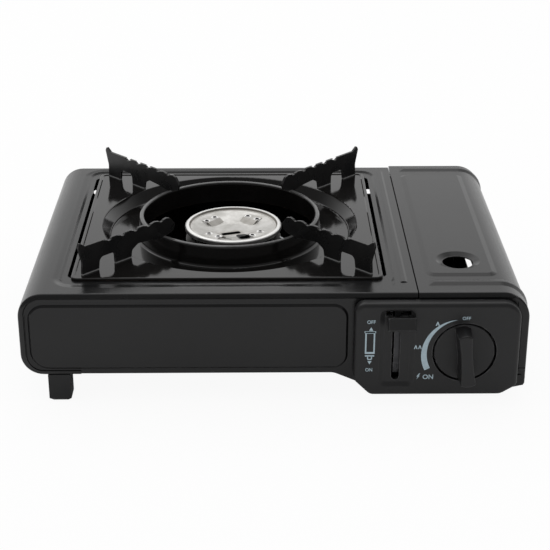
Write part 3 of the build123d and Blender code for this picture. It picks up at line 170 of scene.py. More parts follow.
# Plain fill for the object, white for the camera, glass and gloss, with a darker front of the room in gloss.
def makeWorld(s):
    world = bpy.data.worlds.new("studioWorld")
    bpy.context.scene.world = world
    world.use_nodes = True
    tree = world.node_tree
    tree.nodes.clear()
    rays = put(tree, "ShaderNodeLightPath").outputs
    direction = parted(tree, put(tree, "ShaderNodeTexCoord").outputs["Generated"])
    front = ranged(tree, direction["Y"], *s["frontFade"], low=s["frontLevel"], curve="SMOOTHSTEP")
    gloss = numberMix(tree, rays["Is Glossy Ray"], 1.0, front)
    seen = maths(tree, "MAXIMUM", rays["Is Camera Ray"], rays["Is Glossy Ray"])
    seen = maths(tree, "MAXIMUM", seen, rays["Is Transmission Ray"])
    level = ranged(tree, seen, 0.0, 1.0, low=s["worldFill"])
    strength = maths(tree, "MULTIPLY", level, gloss)
    back = put(tree, "ShaderNodeBackground", {"Color": (1.0, 1.0, 1.0, 1.0), "Strength": strength})
    put(tree, "ShaderNodeOutputWorld", {"Surface": back.outputs[0]})


def makeFloor(s):
    half = s["floorHalf"]
    corners = np.array([(-half, -half, 0), (half, -half, 0), (half, half, 0), (-half, half, 0)])
    mesh = bpy.data.meshes.new("studioFloor")
    mesh.from_pydata(corners, [], [(0, 1, 2, 3)])
    floor = bpy.data.objects.new("studioFloor", mesh)
    link(floor)
    material, tree = startMaterial("paleFloor")
    rays = put(tree, "ShaderNodeLightPath").outputs
    share = maths(tree, "MULTIPLY", rays["Is Camera Ray"], s["floorLift"])
    matt = put(tree, "ShaderNodeBsdfDiffuse", {"Color": (*s["floorColour"], 1.0)})
    white = put(tree, "ShaderNodeEmission", {"Color": (1.0, 1.0, 1.0, 1.0), "Strength": 1.0})
    mix = put(tree, "ShaderNodeMixShader", {"Fac": share, 1: matt.outputs[0], 2: white.outputs[0]})
    put(tree, "ShaderNodeOutputMaterial", {"Surface": mix.outputs[0]})
    mesh.materials.append(material)


makeCamera(studio)
makeWorld(studio)
makeFloor(studio)
makeLamp(studio)
bpy.context.scene.view_settings.view_transform = "Standard"
print("studio ready")


# Shared effects. Each has inputs that a finish may set, and fixed numbers: a band is the part of a noise or of a
# slope that is stretched over the whole mask.
effects = {
    "edgeWearAndHighlight": {
        "inputs": {"Radius": 0.6 * mm, "Gain": 6.0, "Breakup": 300.0, "Amount": 0.5},
        "samples": 6,
        "noise": {"Detail": 4.0, "Roughness": 0.6},
        "noiseBand": (0.38, 0.62),
    },
    "surfaceGrain": {
        "inputs": {"Scale": 1800.0, "Wave": 90.0, "Wave Share": 0.3},
        "fine": {"Detail": 3.0, "Roughness": 0.55},
        "coarse": {"Detail": 1.0},
    },
    "handlingSmudge": {
        "inputs": {"Scale": 22.0, "Amount": 1.0},
        "broad": {"Detail": 3.0, "Roughness": 0.6, "Distortion": 0.4},
        "broadBand": (0.32, 0.68),
        "smear": {"Scale": 160.0, "Detail": 2.0},
        "smearBand": (0.3, 0.7),
        "smearLeast": 0.6,
    },
    "settledDust": {
        "inputs": {"Speck": 2600.0, "Patch": 30.0, "Amount": 0.2},
        "upBand": (0.4, 1.0),
        "speck": {"Detail": 2.0, "Roughness": 0.7},
        "speckBand": (0.58, 0.72),
        "patch": {"Detail": 3.0},
        "patchBand": (0.35, 0.7),
        "patchLeast": 0.15,
    },
    "roundedOutline": {
        "inputs": {
            "Across": 0.0, "Along": 0.0, "Centre Across": 0.0, "Centre Along": 0.0, "Half Across": 100 * mm,
            "Half Along": 100 * mm, "Corner": 10 * mm,
        },
    },
}


# Empty group with its interface; gives the group and its inputs as sockets to read.
def startGroup(name, output):
    group = bpy.data.node_groups.new(name, "ShaderNodeTree")
    for label, value in effects[name]["inputs"].items():
        socket = group.interface.new_socket(label, in_out="INPUT", socket_type="NodeSocketFloat")
        socket.default_value = value
    group.interface.new_socket(output, in_out="OUTPUT", socket_type="NodeSocketFloat")
    return group, group.nodes.new("NodeGroupInput").outputs


# Mask of rubbed edges and of painted edge highlights: one less the cosine between the rounded and the true normal,
# broken up by noise.
def makeEdgeWearAndHighlight(e):
    group, entry = startGroup("edgeWearAndHighlight", "Mask")
    rounded = put(group, "ShaderNodeBevel", {"Radius": entry["Radius"]}, samples=e["samples"])
    normals = {0: rounded.outputs["Normal"], 1: trueNormal(group)}
    cosine = put(group, "ShaderNodeVectorMath", normals, operation="DOT_PRODUCT").outputs["Value"]
    bent = maths(group, "SUBTRACT", 1.0, cosine)
    edge = maths(group, "MULTIPLY", bent, entry["Gain"], clamp=True)
    noise = noiseAt(group, objectPlace(group), {"Scale": entry["Breakup"], **e["noise"]})
    broken = maths(group, "MULTIPLY", edge, ranged(group, noise, *e["noiseBand"]))
    mask = maths(group, "MULTIPLY", broken, entry["Amount"], clamp=True)
    put(group, "NodeGroupOutput", {"Mask": mask})
    return group


# Height of a coating: fine noise with a coarser wave under it.
def makeSurfaceGrain(e):
    group, entry = startGroup("surfaceGrain", "Height")
    place = objectPlace(group)
    fine = noiseAt(group, place, {"Scale": entry["Scale"], **e["fine"]})
    coarse = noiseAt(group, place, {"Scale": entry["Wave"], **e["coarse"]})
    put(group, "NodeGroupOutput", {"Height": numberMix(group, entry["Wave Share"], fine, coarse)})
    return group


# Mask of soft smudges: two noises multiplied, each stretched over its band.
def makeHandling(e):
    group, entry = startGroup("handlingSmudge", "Mask")
    place = objectPlace(group)
    broad = noiseAt(group, place, {"Scale": entry["Scale"], **e["broad"]})
    smear = noiseAt(group, place, e["smear"])
    wide = ranged(group, broad, *e["broadBand"])
    narrow = ranged(group, smear, *e["smearBand"], low=e["smearLeast"])
    both = maths(group, "MULTIPLY", wide, narrow)
    mask = maths(group, "MULTIPLY", both, entry["Amount"], clamp=True)
    put(group, "NodeGroupOutput", {"Mask": mask})
    return group


# Mask of settled dust: specks where a fine noise is high, in soft patches, on faces that look up.
def makeDust(e):
    group, entry = startGroup("settledDust", "Mask")
    place = objectPlace(group)
    up = ranged(group, parted(group, trueNormal(group))["Z"], *e["upBand"])
    speck = noiseAt(group, place, {"Scale": entry["Speck"], **e["speck"]})
    patch = noiseAt(group, place, {"Scale": entry["Patch"], **e["patch"]})
    specks = maths(group, "MULTIPLY", up, ranged(group, speck, *e["speckBand"]))
    soft = ranged(group, patch, *e["patchBand"], low=e["patchLeast"])
    patches = maths(group, "MULTIPLY", specks, soft)
    mask = maths(group, "MULTIPLY", patches, entry["Amount"], clamp=True)
    put(group, "NodeGroupOutput", {"Mask": mask})
    return group


# Distance outside a rounded rectangle, below nought inside: how far each axis passes the core, joined as a
# length outside and as the larger one inside, less the corner's radius.
def makeOutline():
    group, entry = startGroup("roundedOutline", "Distance")
    past = []
    for side in ("Across", "Along"):
        off = maths(group, "SUBTRACT", entry[side], entry["Centre " + side])
        core = maths(group, "SUBTRACT", entry["Half " + side], entry["Corner"])
        past.append(maths(group, "SUBTRACT", maths(group, "ABSOLUTE", off), core))
    above = [maths(group, "MAXIMUM", beyond, 0.0) for beyond in past]
    outside = lengthOf(group, flatVector(group, *above))
    inside = maths(group, "MINIMUM", maths(group, "MAXIMUM", *past), 0.0)
    distance = maths(group, "SUBTRACT", maths(group, "ADD", outside, inside), entry["Corner"])
    put(group, "NodeGroupOutput", {"Distance": distance})
    return group


edgeWearAndHighlight = makeEdgeWearAndHighlight(effects["edgeWearAndHighlight"])
surfaceGrain = makeSurfaceGrain(effects["surfaceGrain"])
handlingSmudge = makeHandling(effects["handlingSmudge"])
settledDust = makeDust(effects["settledDust"])
roundedOutline = makeOutline()
print("effects ready")


def outlineDistance(tree, across, along, outline):
    return useGroup(tree, roundedOutline, {"Across": across, "Along": along, **outline}, "Distance")


# Pressed forms of the case
panLow, panHigh = (np.array(corner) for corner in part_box("drip_pan"))
shellLow, shellHigh = (np.array(corner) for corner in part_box("top_shell"))
panMiddle, panHalf = (panLow + panHigh) / 2, (panHigh - panLow) / 2
shellMiddle, shellHalf = (shellLow + shellHigh) / 2, (shellHigh - shellLow) / 2
recessMargin = 7.7 * mm  # recess of the deck around the pan
foldReach = 300 * mm  # half length of an outline that starts at the shell's left; its far end lies past the case
deckForm = {
    "recess": {
        "Centre Across": panMiddle[0],
        "Centre Along": panMiddle[1],
        "Half Across": panHalf[0] + recessMargin,
        "Half Along": panHalf[1] + recessMargin,
        "Corner": 11 * mm,
    },
    "recessWidth": 5 * mm,
    "recessRise": 1 * mm,
    "bay": panHigh[0] - 28 * mm,  # left of the finger bay
    "bayFade": 8 * mm,
    "fold": {
        "Centre Across": shellLow[0] + foldReach,
        "Centre Along": shellMiddle[2],
        "Half Across": foldReach,
        "Half Along": shellHalf[2],
        "Corner": 16 * mm,
    },
    "front": shellLow[1],
    "frontDepth": (0.8 * mm, 0.2 * mm),  # the fold's bend fades in between these depths behind the front
    "leanStart": 1.6 * mm,
    "crease": 3.6 * mm,
    "creaseWidth": 0.7 * mm,
    "lean": 0.75 * mm,
}


# Normal of the soft pressed forms: the deck rises slowly around the pan's recess, and the folded front edge leans
# out and turns back at a fine crease. Each is a height that follows the distance from a rounded outline.
def pressedForm(tree, form):
    x, y, z = parted(tree, objectPlace(tree))
    recess = outlineDistance(tree, x, y, form["recess"])
    slope = ranged(tree, recess, 0.0, form["recessWidth"], -form["recessRise"], 0.0, curve="SMOOTHSTEP")
    deck = maths(tree, "MULTIPLY", slope, ranged(tree, x, form["bay"], form["bay"] - form["bayFade"]))
    fold = outlineDistance(tree, x, z, form["fold"])
    crease, lean = -form["crease"], form["lean"]
    out = ranged(tree, fold, -form["leanStart"], crease, high=lean)
    back = ranged(tree, fold, crease, crease - form["creaseWidth"], high=lean)
    onFront = ranged(tree, y, *(form["front"] + depth for depth in form["frontDepth"]))
    edge = maths(tree, "MULTIPLY", maths(tree, "SUBTRACT", out, back), onFront)
    height = maths(tree, "ADD", deck, edge)
    return put(tree, "ShaderNodeBump", {"Strength": 1.0, "Distance": 1.0, "Height": height}).outputs["Normal"]


# Finishes of the solids, by their slot in the record. What a finish leaves out is as in plainFinish.
plainFinish = {
    "specular": 0.5, "metallic": 0.0, "coat": 0.0, "coatRoughness": 0.08, "spread": 0.04, "smudgeScale": 22.0,
    "dust": 0.0, "dustColour": (0.30, 0.29, 0.27), "wearAndHighlight": 0.4, "wearAndHighlightRadius": 0.6 * mm, "grainScale": 1800.0,
    "wave": 90.0, "waveShare": 0.3, "bump": 0.3, "bumpDepth": 0.05 * mm,
}
# On the black coats and mouldings the lighter edge colour is a painted edge highlight as well as wear.
finishes = {
    "case_coat": {
        "name": "satinBlackCoat", "colour": (0.0065, 0.0065, 0.0068), "colourTwo": (0.0095, 0.0095, 0.0098),
        "roughness": 0.24, "spread": 0.03, "specular": 0.34, "dust": 0.06, "wearAndHighlight": 0.25,
        "wearAndHighlightColour": (0.035, 0.035, 0.036), "grainScale": 1500.0, "bump": 0.22, "bumpDepth": 0.03 * mm,
        "smudgeScale": 14.0, "form": deckForm,
    },
    "pan_enamel": {
        "name": "glossBlackEnamel", "colour": (0.0045, 0.0043, 0.0042), "colourTwo": (0.0075, 0.0068, 0.0064),
        "roughness": 0.10, "spread": 0.03, "specular": 0.44, "dust": 0.05, "wearAndHighlight": 0.55,
        # Its lighter edges are brownish: a painted warm reflection along the pan's lip.
        "wearAndHighlightColour": (0.085, 0.060, 0.048), "grainScale": 700.0, "wave": 65.0, "waveShare": 0.75, "bump": 0.12,
        "smudgeScale": 18.0, "paleStrip": (panHigh[2] - 0.7 * mm, panHigh[2] - 0.4 * mm),  # painted highlight along the top of the ring
        "paleStripColour": (0.085, 0.085, 0.085),
    },
    "support_enamel": {
        "name": "mattBlackEnamel", "colour": (0.0065, 0.0065, 0.0068), "colourTwo": (0.011, 0.0108, 0.0106),
        "roughness": 0.30, "spread": 0.06, "specular": 0.42, "dust": 0.04, "wearAndHighlight": 0.8,
        "wearAndHighlightColour": (0.075, 0.073, 0.070), "grainScale": 900.0, "bumpDepth": 0.06 * mm, "smudgeScale": 40.0,
        "paleStrip": (81.4 * mm, 81.2 * mm), "paleStripColour": (0.20, 0.20, 0.20),  # lighter band at the feet of the arms
    },
    "panel_plastic": {
        "name": "panelMoulding", "colour": (0.0125, 0.0125, 0.013), "colourTwo": (0.0145, 0.0145, 0.015),
        "roughness": 0.42, "specular": 0.32, "dust": 0.03, "wearAndHighlight": 0.9, "wearAndHighlightColour": (0.11, 0.11, 0.113),
        "wearAndHighlightRadius": 0.9 * mm, "grainScale": 2400.0, "bump": 0.4, "bumpDepth": 0.04 * mm, "smudgeScale": 30.0,
    },
    "knob_plastic": {
        "name": "knobMoulding", "colour": (0.0115, 0.0115, 0.012), "colourTwo": (0.0135, 0.0135, 0.014),
        "roughness": 0.40, "spread": 0.05, "specular": 0.32, "wearAndHighlight": 0.9, "wearAndHighlightColour": (0.10, 0.10, 0.103),
        "wearAndHighlightRadius": 0.9 * mm, "grainScale": 2600.0, "bump": 0.4, "bumpDepth": 0.04 * mm, "smudgeScale": 60.0,
    },
    "foot_plastic": {
        "name": "footMoulding", "colour": (0.009, 0.009, 0.0095), "colourTwo": (0.012, 0.012, 0.0125),
        "roughness": 0.42, "spread": 0.05, "specular": 0.32, "wearAndHighlight": 0.2, "wearAndHighlightColour": (0.04, 0.04, 0.04),
        "grainScale": 2000.0, "bump": 0.4, "bumpDepth": 0.04 * mm,
    },
    "igniter_plastic": {
        "name": "igniterMoulding", "colour": (0.55, 0.54, 0.50), "colourTwo": (0.50, 0.48, 0.43),
        "roughness": 0.42, "wearAndHighlight": 0.2, "wearAndHighlightColour": (0.62, 0.60, 0.55),
    },
    "black_plate": {
        "name": "blackPlate", "colour": (0.055, 0.055, 0.058), "colourTwo": (0.038, 0.038, 0.040),
        "roughness": 0.36, "spread": 0.07, "metallic": 0.85, "wearAndHighlight": 0.7, "wearAndHighlightColour": (0.30, 0.30, 0.30),
        "grainScale": 1300.0, "smudgeScale": 90.0,
    },
    "zinc_steel": {
        "name": "zincPlate", "colour": (0.50, 0.51, 0.52), "colourTwo": (0.40, 0.41, 0.43), "roughness": 0.34,
        "spread": 0.08, "metallic": 1.0, "wearAndHighlightColour": (0.68, 0.68, 0.68), "grainScale": 1200.0,
        "smudgeScale": 90.0, "bump": 0.35,
    },
    "burner_casting": {
        "name": "burnerCasting", "colour": (0.20, 0.20, 0.195), "colourTwo": (0.13, 0.125, 0.12),
        "roughness": 0.55, "spread": 0.06, "metallic": 1.0, "wearAndHighlight": 0.5, "wearAndHighlightColour": (0.34, 0.34, 0.33),
        "grainScale": 900.0, "smudgeScale": 70.0, "bump": 0.6, "bumpDepth": 0.1 * mm,
    },
    "regulator_casting": {
        "name": "dieCasting", "colour": (0.52, 0.52, 0.51), "colourTwo": (0.42, 0.42, 0.42), "roughness": 0.48,
        "spread": 0.05, "metallic": 1.0, "wearAndHighlight": 0.5, "wearAndHighlightColour": (0.66, 0.66, 0.65), "grainScale": 1100.0,
        "smudgeScale": 60.0, "bump": 0.5, "bumpDepth": 0.08 * mm,
    },
    "pipe_aluminium": {
        "name": "drawnAluminium", "colour": (0.66, 0.66, 0.65), "colourTwo": (0.56, 0.56, 0.55),
        "roughness": 0.28, "metallic": 1.0, "wearAndHighlight": 0.2, "wearAndHighlightColour": (0.76, 0.76, 0.76), "grainScale": 1500.0,
        "smudgeScale": 120.0,
    },
    "brass_fitting": {
        "name": "turnedBrass", "colour": (0.60, 0.46, 0.21), "colourTwo": (0.48, 0.35, 0.15), "roughness": 0.26,
        "metallic": 1.0, "wearAndHighlightColour": (0.72, 0.58, 0.32), "smudgeScale": 150.0,
    },
    "seal_rubber": {
        "name": "blackRubber", "colour": (0.025, 0.025, 0.025), "colourTwo": (0.04, 0.04, 0.04),
        "roughness": 0.62, "wearAndHighlight": 0.2, "wearAndHighlightColour": (0.06, 0.06, 0.06), "grainScale": 2500.0,
    },
    "wire_rubber": {
        "name": "greyRubber", "colour": (0.24, 0.24, 0.25), "colourTwo": (0.19, 0.19, 0.20), "roughness": 0.5,
        "wearAndHighlight": 0.1, "wearAndHighlightColour": (0.3, 0.3, 0.3), "grainScale": 2500.0,
    },
    "ceramic": {
        "name": "glazedCeramic", "colour": (0.84, 0.83, 0.78), "colourTwo": (0.78, 0.76, 0.70), "roughness": 0.2,
        "coat": 0.5, "wearAndHighlight": 0.2, "wearAndHighlightColour": (0.7, 0.68, 0.62), "grainScale": 600.0, "bump": 0.15,
    },
}


# Painted, enamelled, moulded or plated finish: body colour, smudges, dust, rubbed edges that also carry painted
# edge highlights, a paler strip and a grained surface.
def coated(finish):
    look = {**plainFinish, **finish}
    material, tree = startMaterial(look["name"])
    smudge = useGroup(tree, handlingSmudge, {"Scale": look["smudgeScale"]}, "Mask")
    colour = colourMix(tree, smudge, look["colour"], look["colourTwo"])
    if look["dust"]:
        dust = useGroup(tree, settledDust, {"Amount": look["dust"]}, "Mask")
        colour = colourMix(tree, dust, colour, look["dustColour"])
    # Lighter or darker edges: wear, and on the black coats and mouldings a painted edge highlight too.
    wearAndHighlight = useGroup(tree, edgeWearAndHighlight, {"Radius": look["wearAndHighlightRadius"], "Amount": look["wearAndHighlight"]}, "Mask")
    colour = colourMix(tree, wearAndHighlight, colour, look["wearAndHighlightColour"])
    if "paleStrip" in look:  # paler strip that grows from the first height to the second
        # On the pan this strip is a painted highlight along the top of the ring; on the support arms a lighter band
        # at their feet.
        strip = ranged(tree, parted(tree, objectPlace(tree))["Z"], *look["paleStrip"])
        colour = colourMix(tree, strip, colour, look["paleStripColour"])
    least, most = look["roughness"] - look["spread"], look["roughness"] + look["spread"]
    grainValues = {"Scale": look["grainScale"], "Wave": look["wave"], "Wave Share": look["waveShare"]}
    grain = useGroup(tree, surfaceGrain, grainValues, "Height")
    bumpValues = {"Strength": look["bump"], "Distance": look["bumpDepth"], "Height": grain}
    if "form" in look:
        bumpValues["Normal"] = pressedForm(tree, look["form"])
    body = put(
        tree,
        "ShaderNodeBsdfPrincipled",
        {
            "Base Color": colour,
            "Roughness": ranged(tree, smudge, 0.0, 1.0, least, most),
            "Metallic": look["metallic"],
            "Specular IOR Level": look["specular"],
            "Coat Weight": look["coat"],
            "Coat Roughness": look["coatRoughness"],
            "Normal": put(tree, "ShaderNodeBump", bumpValues).outputs["Normal"],
        },
    )
    put(tree, "ShaderNodeOutputMaterial", {"Surface": body.outputs[0]})
    return material


# Burner cap: bright pressed disc. Pairs named edge or band are where a mask begins and where it is full.
capLook = {
    "name": "brightPressed",
    "centre": (-29.55 * mm, 16.3 * mm),
    "colour": (0.575, 0.565, 0.545),
    "shade": (0.49, 0.48, 0.455),
    "mottle": {"Scale": 130.0, "Detail": 4.0, "Roughness": 0.65},
    "mottleBand": (0.35, 0.65),
    "heat": (0.53, 0.515, 0.485),
    "heatBand": (27 * mm, 36 * mm),
    "heatMost": 0.35,
    # Painted highlight: the rim's colour is lighter from the rim edge outward.
    "rim": (0.80, 0.795, 0.78),
    "rimEdge": (32.6 * mm, 33 * mm),
    "steepShade": (0.34, 0.32, 0.29),  # painted shade on the sides of the bosses and the rim's inner wall
    "steepBand": (0.955, 0.80),  # Z of the normal
    "steepEdge": (33 * mm, 32.5 * mm),
    "wearAndHighlight": {"Radius": 0.5 * mm, "Amount": 0.8},
    "wearAndHighlightColour": (0.88, 0.87, 0.85),
    # Painted shade: near black round the rivet holes and at the crescent and the window, reaching past their
    # openings.
    "openingShade": (0.012, 0.012, 0.012),
    # Painted highlight: a pale ring round each rivet hole.
    "collar": (0.90, 0.89, 0.88),
    "collarEdge": (2.9 * mm, 2.3 * mm),
    "holeEdge": (1.5 * mm, 1.3 * mm),
    "bossTurn": math.radians(50.5),
    "bossRadius": 22.2 * mm,
    "holeSide": 4.5 * mm,
    # The window's painted shade is longer than its opening in the sheet.
    "window": {
        "place": (7.6 * mm, -16.2 * mm), "turn": math.radians(12), "half": (3 * mm, 7.2 * mm), "corner": 1.2 * mm,
        "edge": (1.3 * mm, 0.9 * mm),
    },
    "crescent": {
        "place": (-1.6 * mm, -6.2 * mm), "turn": math.radians(18), "half": (7 * mm, 2.1 * mm), "corner": 1.2 * mm,
        # Painted shade fades out round the crescent, to the width of its halo.
        "edge": (0.4 * mm, 0.0), "shadeHaloEdge": (3.6 * mm, 0.0), "shadeHaloMost": 0.85,
    },
    "roughness": (0.35, 0.52),
    "rings": {"Scale": 1400.0, "Detail": 2.0},
    "grain": {"Scale": 700.0, "Detail": 2.0},
    "bump": {"Strength": 0.3, "Distance": 0.08 * mm},
}


# Distance from a turned rounded opening in the cap.
def openingDistance(tree, flat, opening):
    shift = {"Location": (*opening["place"], 0.0), "Rotation": (0.0, 0.0, opening["turn"])}
    local = put(tree, "ShaderNodeMapping", {"Vector": flat, **shift}, vector_type="TEXTURE")
    axes = parted(tree, local.outputs["Vector"])
    halfAcross, halfAlong = opening["half"]
    outline = {"Half Across": halfAcross, "Half Along": halfAlong, "Corner": opening["corner"]}
    return outlineDistance(tree, axes["X"], axes["Y"], outline)


# Distance from the nearest rivet hole: the turn about the axis is folded into one boss, and its side into one hole.
def holeDistance(tree, axes, radius, look):
    turn = maths(tree, "SUBTRACT", maths(tree, "ARCTAN2", axes["Y"], axes["X"]), look["bossTurn"])
    fold = maths(tree, "WRAP", turn, math.pi / 4, -math.pi / 4)
    out = maths(tree, "MULTIPLY", maths(tree, "COSINE", fold), radius)
    side = maths(tree, "MULTIPLY", maths(tree, "SINE", fold), radius)
    outOff = maths(tree, "SUBTRACT", out, look["bossRadius"])
    sideOff = maths(tree, "SUBTRACT", maths(tree, "ABSOLUTE", side), look["holeSide"])
    return lengthOf(tree, flatVector(tree, outOff, sideOff))


# Bright metal with turned rings, mottling and a slight heat tint towards the rim. Painted shade darkens the sides
# of its bosses, the rim's inner wall and the sheet round its holes and openings; a painted highlight lightens the
# rim and the collars round the holes.
def brightDisc(look):
    material, tree = startMaterial(look["name"])
    place = objectPlace(tree)
    toCentre = {"Vector": place, "Location": (-look["centre"][0], -look["centre"][1], 0.0)}
    axes = parted(tree, put(tree, "ShaderNodeMapping", toCentre).outputs["Vector"])
    flat = flatVector(tree, axes["X"], axes["Y"])
    radius = lengthOf(tree, flat)
    mottle = ranged(tree, noiseAt(tree, place, look["mottle"]), *look["mottleBand"])
    # Painted shade on faces that turn away from the top inside the rim: the bosses' sides and the rim's inner wall.
    facing = ranged(tree, parted(tree, trueNormal(tree))["Z"], *look["steepBand"])
    steepShade = maths(tree, "MULTIPLY", facing, ranged(tree, radius, *look["steepEdge"]))
    hole = holeDistance(tree, axes, radius, look)
    crescent = openingDistance(tree, flat, look["crescent"])
    # Painted shade round the crescent, in the shade colour of the bosses' sides.
    shadeHalo = ranged(tree, crescent, *look["crescent"]["shadeHaloEdge"], high=look["crescent"]["shadeHaloMost"])
    window = openingDistance(tree, flat, look["window"])
    layers = (
        (mottle, look["shade"]),
        (ranged(tree, radius, *look["heatBand"], high=look["heatMost"]), look["heat"]),
        # painted highlight on the rim
        (ranged(tree, radius, *look["rimEdge"]), look["rim"]),
        (steepShade, look["steepShade"]),
        (useGroup(tree, edgeWearAndHighlight, look["wearAndHighlight"], "Mask"), look["wearAndHighlightColour"]),
        # painted highlight round the rivet holes
        (ranged(tree, hole, *look["collarEdge"]), look["collar"]),
        # painted shade round the rivet holes, on the crescent's edge and over the window
        (ranged(tree, hole, *look["holeEdge"]), look["openingShade"]),
        (shadeHalo, look["steepShade"]),
        (ranged(tree, crescent, *look["crescent"]["edge"]), look["openingShade"]),
        (ranged(tree, window, *look["window"]["edge"]), look["openingShade"]),
    )
    colour = look["colour"]
    for mask, layer in layers:
        colour = colourMix(tree, mask, colour, layer)
    rings = put(tree, "ShaderNodeTexNoise", {"W": radius, **look["rings"]}, noise_dimensions="1D").outputs["Fac"]
    height = maths(tree, "ADD", rings, noiseAt(tree, place, look["grain"]))
    body = put(
        tree,
        "ShaderNodeBsdfPrincipled",
        {
            "Base Color": colour,
            "Roughness": ranged(tree, mottle, 0.0, 1.0, *look["roughness"]),
            "Metallic": 1.0,
            "Normal": put(tree, "ShaderNodeBump", {"Height": height, **look["bump"]}).outputs["Normal"],
        },
    )
    put(tree, "ShaderNodeOutputMaterial", {"Surface": body.outputs[0]})
    return material


materials = {slot: coated(finish) for slot, finish in finishes.items()}
materials["burner_bright"] = brightDisc(capLook)
for row in frame["record"]["subparts"]:
    solid = frame["nodes"][row["node"]]
    for holder in solid.material_slots:
        holder.material = materials[row["material_slot"]]


# Printed marks on the control panel: millimetres, as X and Z on its face. A box is left, right, low and high.
marks = {
    "face": -121.6,  # front of the panel
    "proud": 0.05,
    "sunk": 0.04,
    "knobAxis": (125.85, 41.0),
    "dialInner": (24.5, 25.3),
    "dialWidth": (0.04, 3.956),  # at the thin end, and what it grows by
    "dialTurn": (103.5, 207.0),
    "dialGrowth": 1.7,
    "dialPoints": 60,
    "cartridge": ((59.6, 66.2, 40.2, 56.5), (60.6, 65.2, 41.6, 55.2)),
    "cartridgeBars": ((59.1, 66.7, 55.6, 56.9), (59.7, 65.9, 38.2, 39.2)),
    "cupOuter": ((61.2, 38.4), (61.2, 36.2), (61.9, 35.7), (63.8, 35.7), (64.5, 36.2), (64.5, 38.4)),
    "cupInner": ((61.95, 38.4), (61.95, 36.7), (62.2, 36.45), (63.5, 36.45), (63.75, 36.7), (63.75, 38.4)),
    "arrows": (((62.0, 57.3), (64.8, 57.3), (63.4, 59.9)), ((61.5, 34.9), (64.3, 34.9), (62.9, 32.3))),
    "flames": (  # box and stroke
        (105.8, 108.5, 60.8, 63.8, 0.85),
        (92.1, 94.55, 43.7, 46.6, 0.72),
        (94.85, 97.3, 43.7, 46.6, 0.72),
    ),
    "flameBow": 0.75,
    "flameTip": 1.9,  # depth of the tip in strokes
    "flamePoints": 25,
    "bolt": (
        (96.3, 25.4), (94.6, 23.0), (95.45, 23.05), (94.7, 21.0), (96.8, 23.7), (95.95, 23.65), (97.1, 25.4),
    ),
    "words": (
        ("OFF", 60.65, 66.24, 62.3, 64.9),
        ("ON", 60.25, 64.85, 27.0, 29.6),
        ("ON", 98.8, 105.8, 21.1, 24.5),
        ("OFF", 123.3, 128.8, 64.9, 67.2),
    ),
    "wordDepth": 0.05,
    "wordWeight": 0.012,
    "wordCurve": 4,
    "weld": 1e-7,
}
inkFinish = {
    "name": "printedInk", "colour": (0.40, 0.50, 0.55), "colourTwo": (0.34, 0.43, 0.48), "roughness": 0.5,
    "spread": 0.05, "specular": 0.3, "wearAndHighlight": 0.25, "wearAndHighlightColour": (0.22, 0.28, 0.31), "wearAndHighlightRadius": 0.2 * mm,
    "grainScale": 2400.0, "smudgeScale": 400.0, "bumpDepth": 0.02 * mm,
}


# Flat shape that its middle can see all round: the outline's points and triangles to the middle.
def fan(outline):
    count = len(outline)
    step = np.arange(count)
    points = np.vstack([outline, np.mean(outline, 0)])
    return points, np.stack([step, (step + 1) % count, np.full(count, count)], 1)


# Flat strip between two lines with the same number of points.
def band(outer, inner, closed=False):
    count = len(outer)
    step = np.arange(count if closed else count - 1)
    after = (step + 1) % count
    return np.vstack([outer, inner]), np.stack([step, after, after + count, step + count], 1)


def rectangle(left, right, low, high):
    return np.array([(left, low), (right, low), (right, high), (left, high)])


# Crescent scale: inner edge at a nearly even radius, width growing as one less a power of what is left.
def dialBand(m):
    share = np.linspace(0.0, 1.0, m["dialPoints"])
    turn = np.radians(np.interp(share, (0, 1), m["dialTurn"]))
    inner = np.interp(share, (0, 1), m["dialInner"])
    thin, growth = m["dialWidth"]
    outer = inner + thin + growth * (1.0 - (1.0 - share) ** m["dialGrowth"])
    middle = np.array(m["knobAxis"])
    ray = np.stack([np.cos(turn), np.sin(turn)], 1)
    return band(middle + ray * outer[:, None], middle + ray * inner[:, None])


# Open flame: two bowed strokes, half width rising from the tip as a power of the depth below it.
def flame(m, left, right, low, high, line):
    share = np.linspace(-1.0, 1.0, m["flamePoints"])
    middle, half = (left + right) / 2, (right - left) / 2
    bow = np.sign(share) * np.abs(share) ** m["flameBow"]
    top = high - line * m["flameTip"]
    outer = np.stack([middle + bow * half, high - np.abs(share) * (high - low)], 1)
    inner = np.stack([middle + bow * (half - line), top - np.abs(share) * (top - low)], 1)
    return band(outer, inner)


# Closed thin plate from a flat shape: its points at the front and again at the back, its faces turned to look out
# of each, and a wall on every edge that only one face has.
def plate(points, faces, front, back):
    x, z = np.asarray(points).T
    after = np.roll(faces, -1, 1)
    if (x[faces] * z[after] - x[after] * z[faces]).sum() < 0:  # seen from the front, they run clockwise
        faces = faces[:, ::-1]
        after = np.roll(faces, -1, 1)
    count = len(points)
    start, end = faces.ravel(), after.ravel()
    single = ~np.isin(start * count + end, end * count + start)
    start, end = start[single], end[single]
    walls = np.stack([end, start, start + count, end + count], 1)
    corners = np.concatenate([np.stack([x, np.full(count, y), z], 1) for y in (front, back)])
    return corners * mm, (faces, faces[:, ::-1] + count, walls)


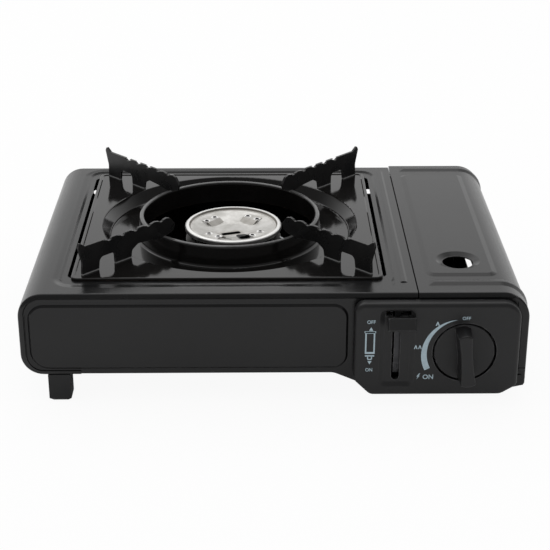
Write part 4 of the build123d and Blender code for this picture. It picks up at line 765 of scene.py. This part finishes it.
# One mesh of all the marks as thin plates.
def makeMarks(m):
    flats = [dialBand(m), band(*(rectangle(*box) for box in m["cartridge"]), closed=True)]
    flats += [fan(rectangle(*box)) for box in m["cartridgeBars"]]
    flats.append(band(m["cupOuter"], m["cupInner"]))
    flats += [fan(arrow) for arrow in m["arrows"]]
    flats += [flame(m, *row) for row in m["flames"]]
    flats.append(fan(m["bolt"]))
    corners, faces, used = [], [], 0
    for points, rows in flats:
        thin, sides = plate(points, rows, m["face"] - m["proud"], m["face"] + m["sunk"])
        for side in sides:
            faces += (side + used).tolist()
        corners.append(thin)
        used += len(thin)
    mesh = bpy.data.meshes.new("panelMarks")
    mesh.from_pydata(np.concatenate(corners), [], faces)
    piece = bpy.data.objects.new("panelMarks", mesh)
    link(piece)
    return piece


# Each word is set as text, made a mesh, and fitted to its own box on the panel's face.
def makeWords(m):
    joined = bmesh.new()
    for text, left, right, low, high in m["words"]:
        curve = bpy.data.curves.new("word", "FONT")
        curve.body = text
        curve.extrude = m["wordDepth"]
        curve.offset = m["wordWeight"]
        curve.resolution_u = m["wordCurve"]
        holder = bpy.data.objects.new("word", curve)
        link(holder)
        bpy.context.view_layer.update()
        mesh = bpy.data.meshes.new_from_object(holder.evaluated_get(bpy.context.evaluated_depsgraph_get()))
        bpy.data.objects.remove(holder)
        place = np.zeros(len(mesh.vertices) * 3)
        mesh.vertices.foreach_get("co", place)
        place = place.reshape(-1, 3)
        across, up, depth = ((place - place.min(0)) / np.ptp(place, 0)).T
        fitted = np.stack(
            [
                left + across * (right - left),
                m["face"] + m["sunk"] - depth * (m["proud"] + m["sunk"]),
                low + up * (high - low),
            ],
            1,
        )
        mesh.vertices.foreach_set("co", (fitted * mm).ravel())
        joined.from_mesh(mesh)
    bmesh.ops.remove_doubles(joined, verts=joined.verts[:], dist=m["weld"])
    bmesh.ops.recalc_face_normals(joined, faces=joined.faces[:])
    mesh = bpy.data.meshes.new("panelWords")
    joined.to_mesh(mesh)
    joined.free()
    piece = bpy.data.objects.new("panelWords", mesh)
    link(piece)
    return piece


ink = coated(inkFinish)
for piece in (makeMarks(marks), makeWords(marks)):
    piece.data.materials.append(ink)
    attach(piece, "case")
print("panel printed")
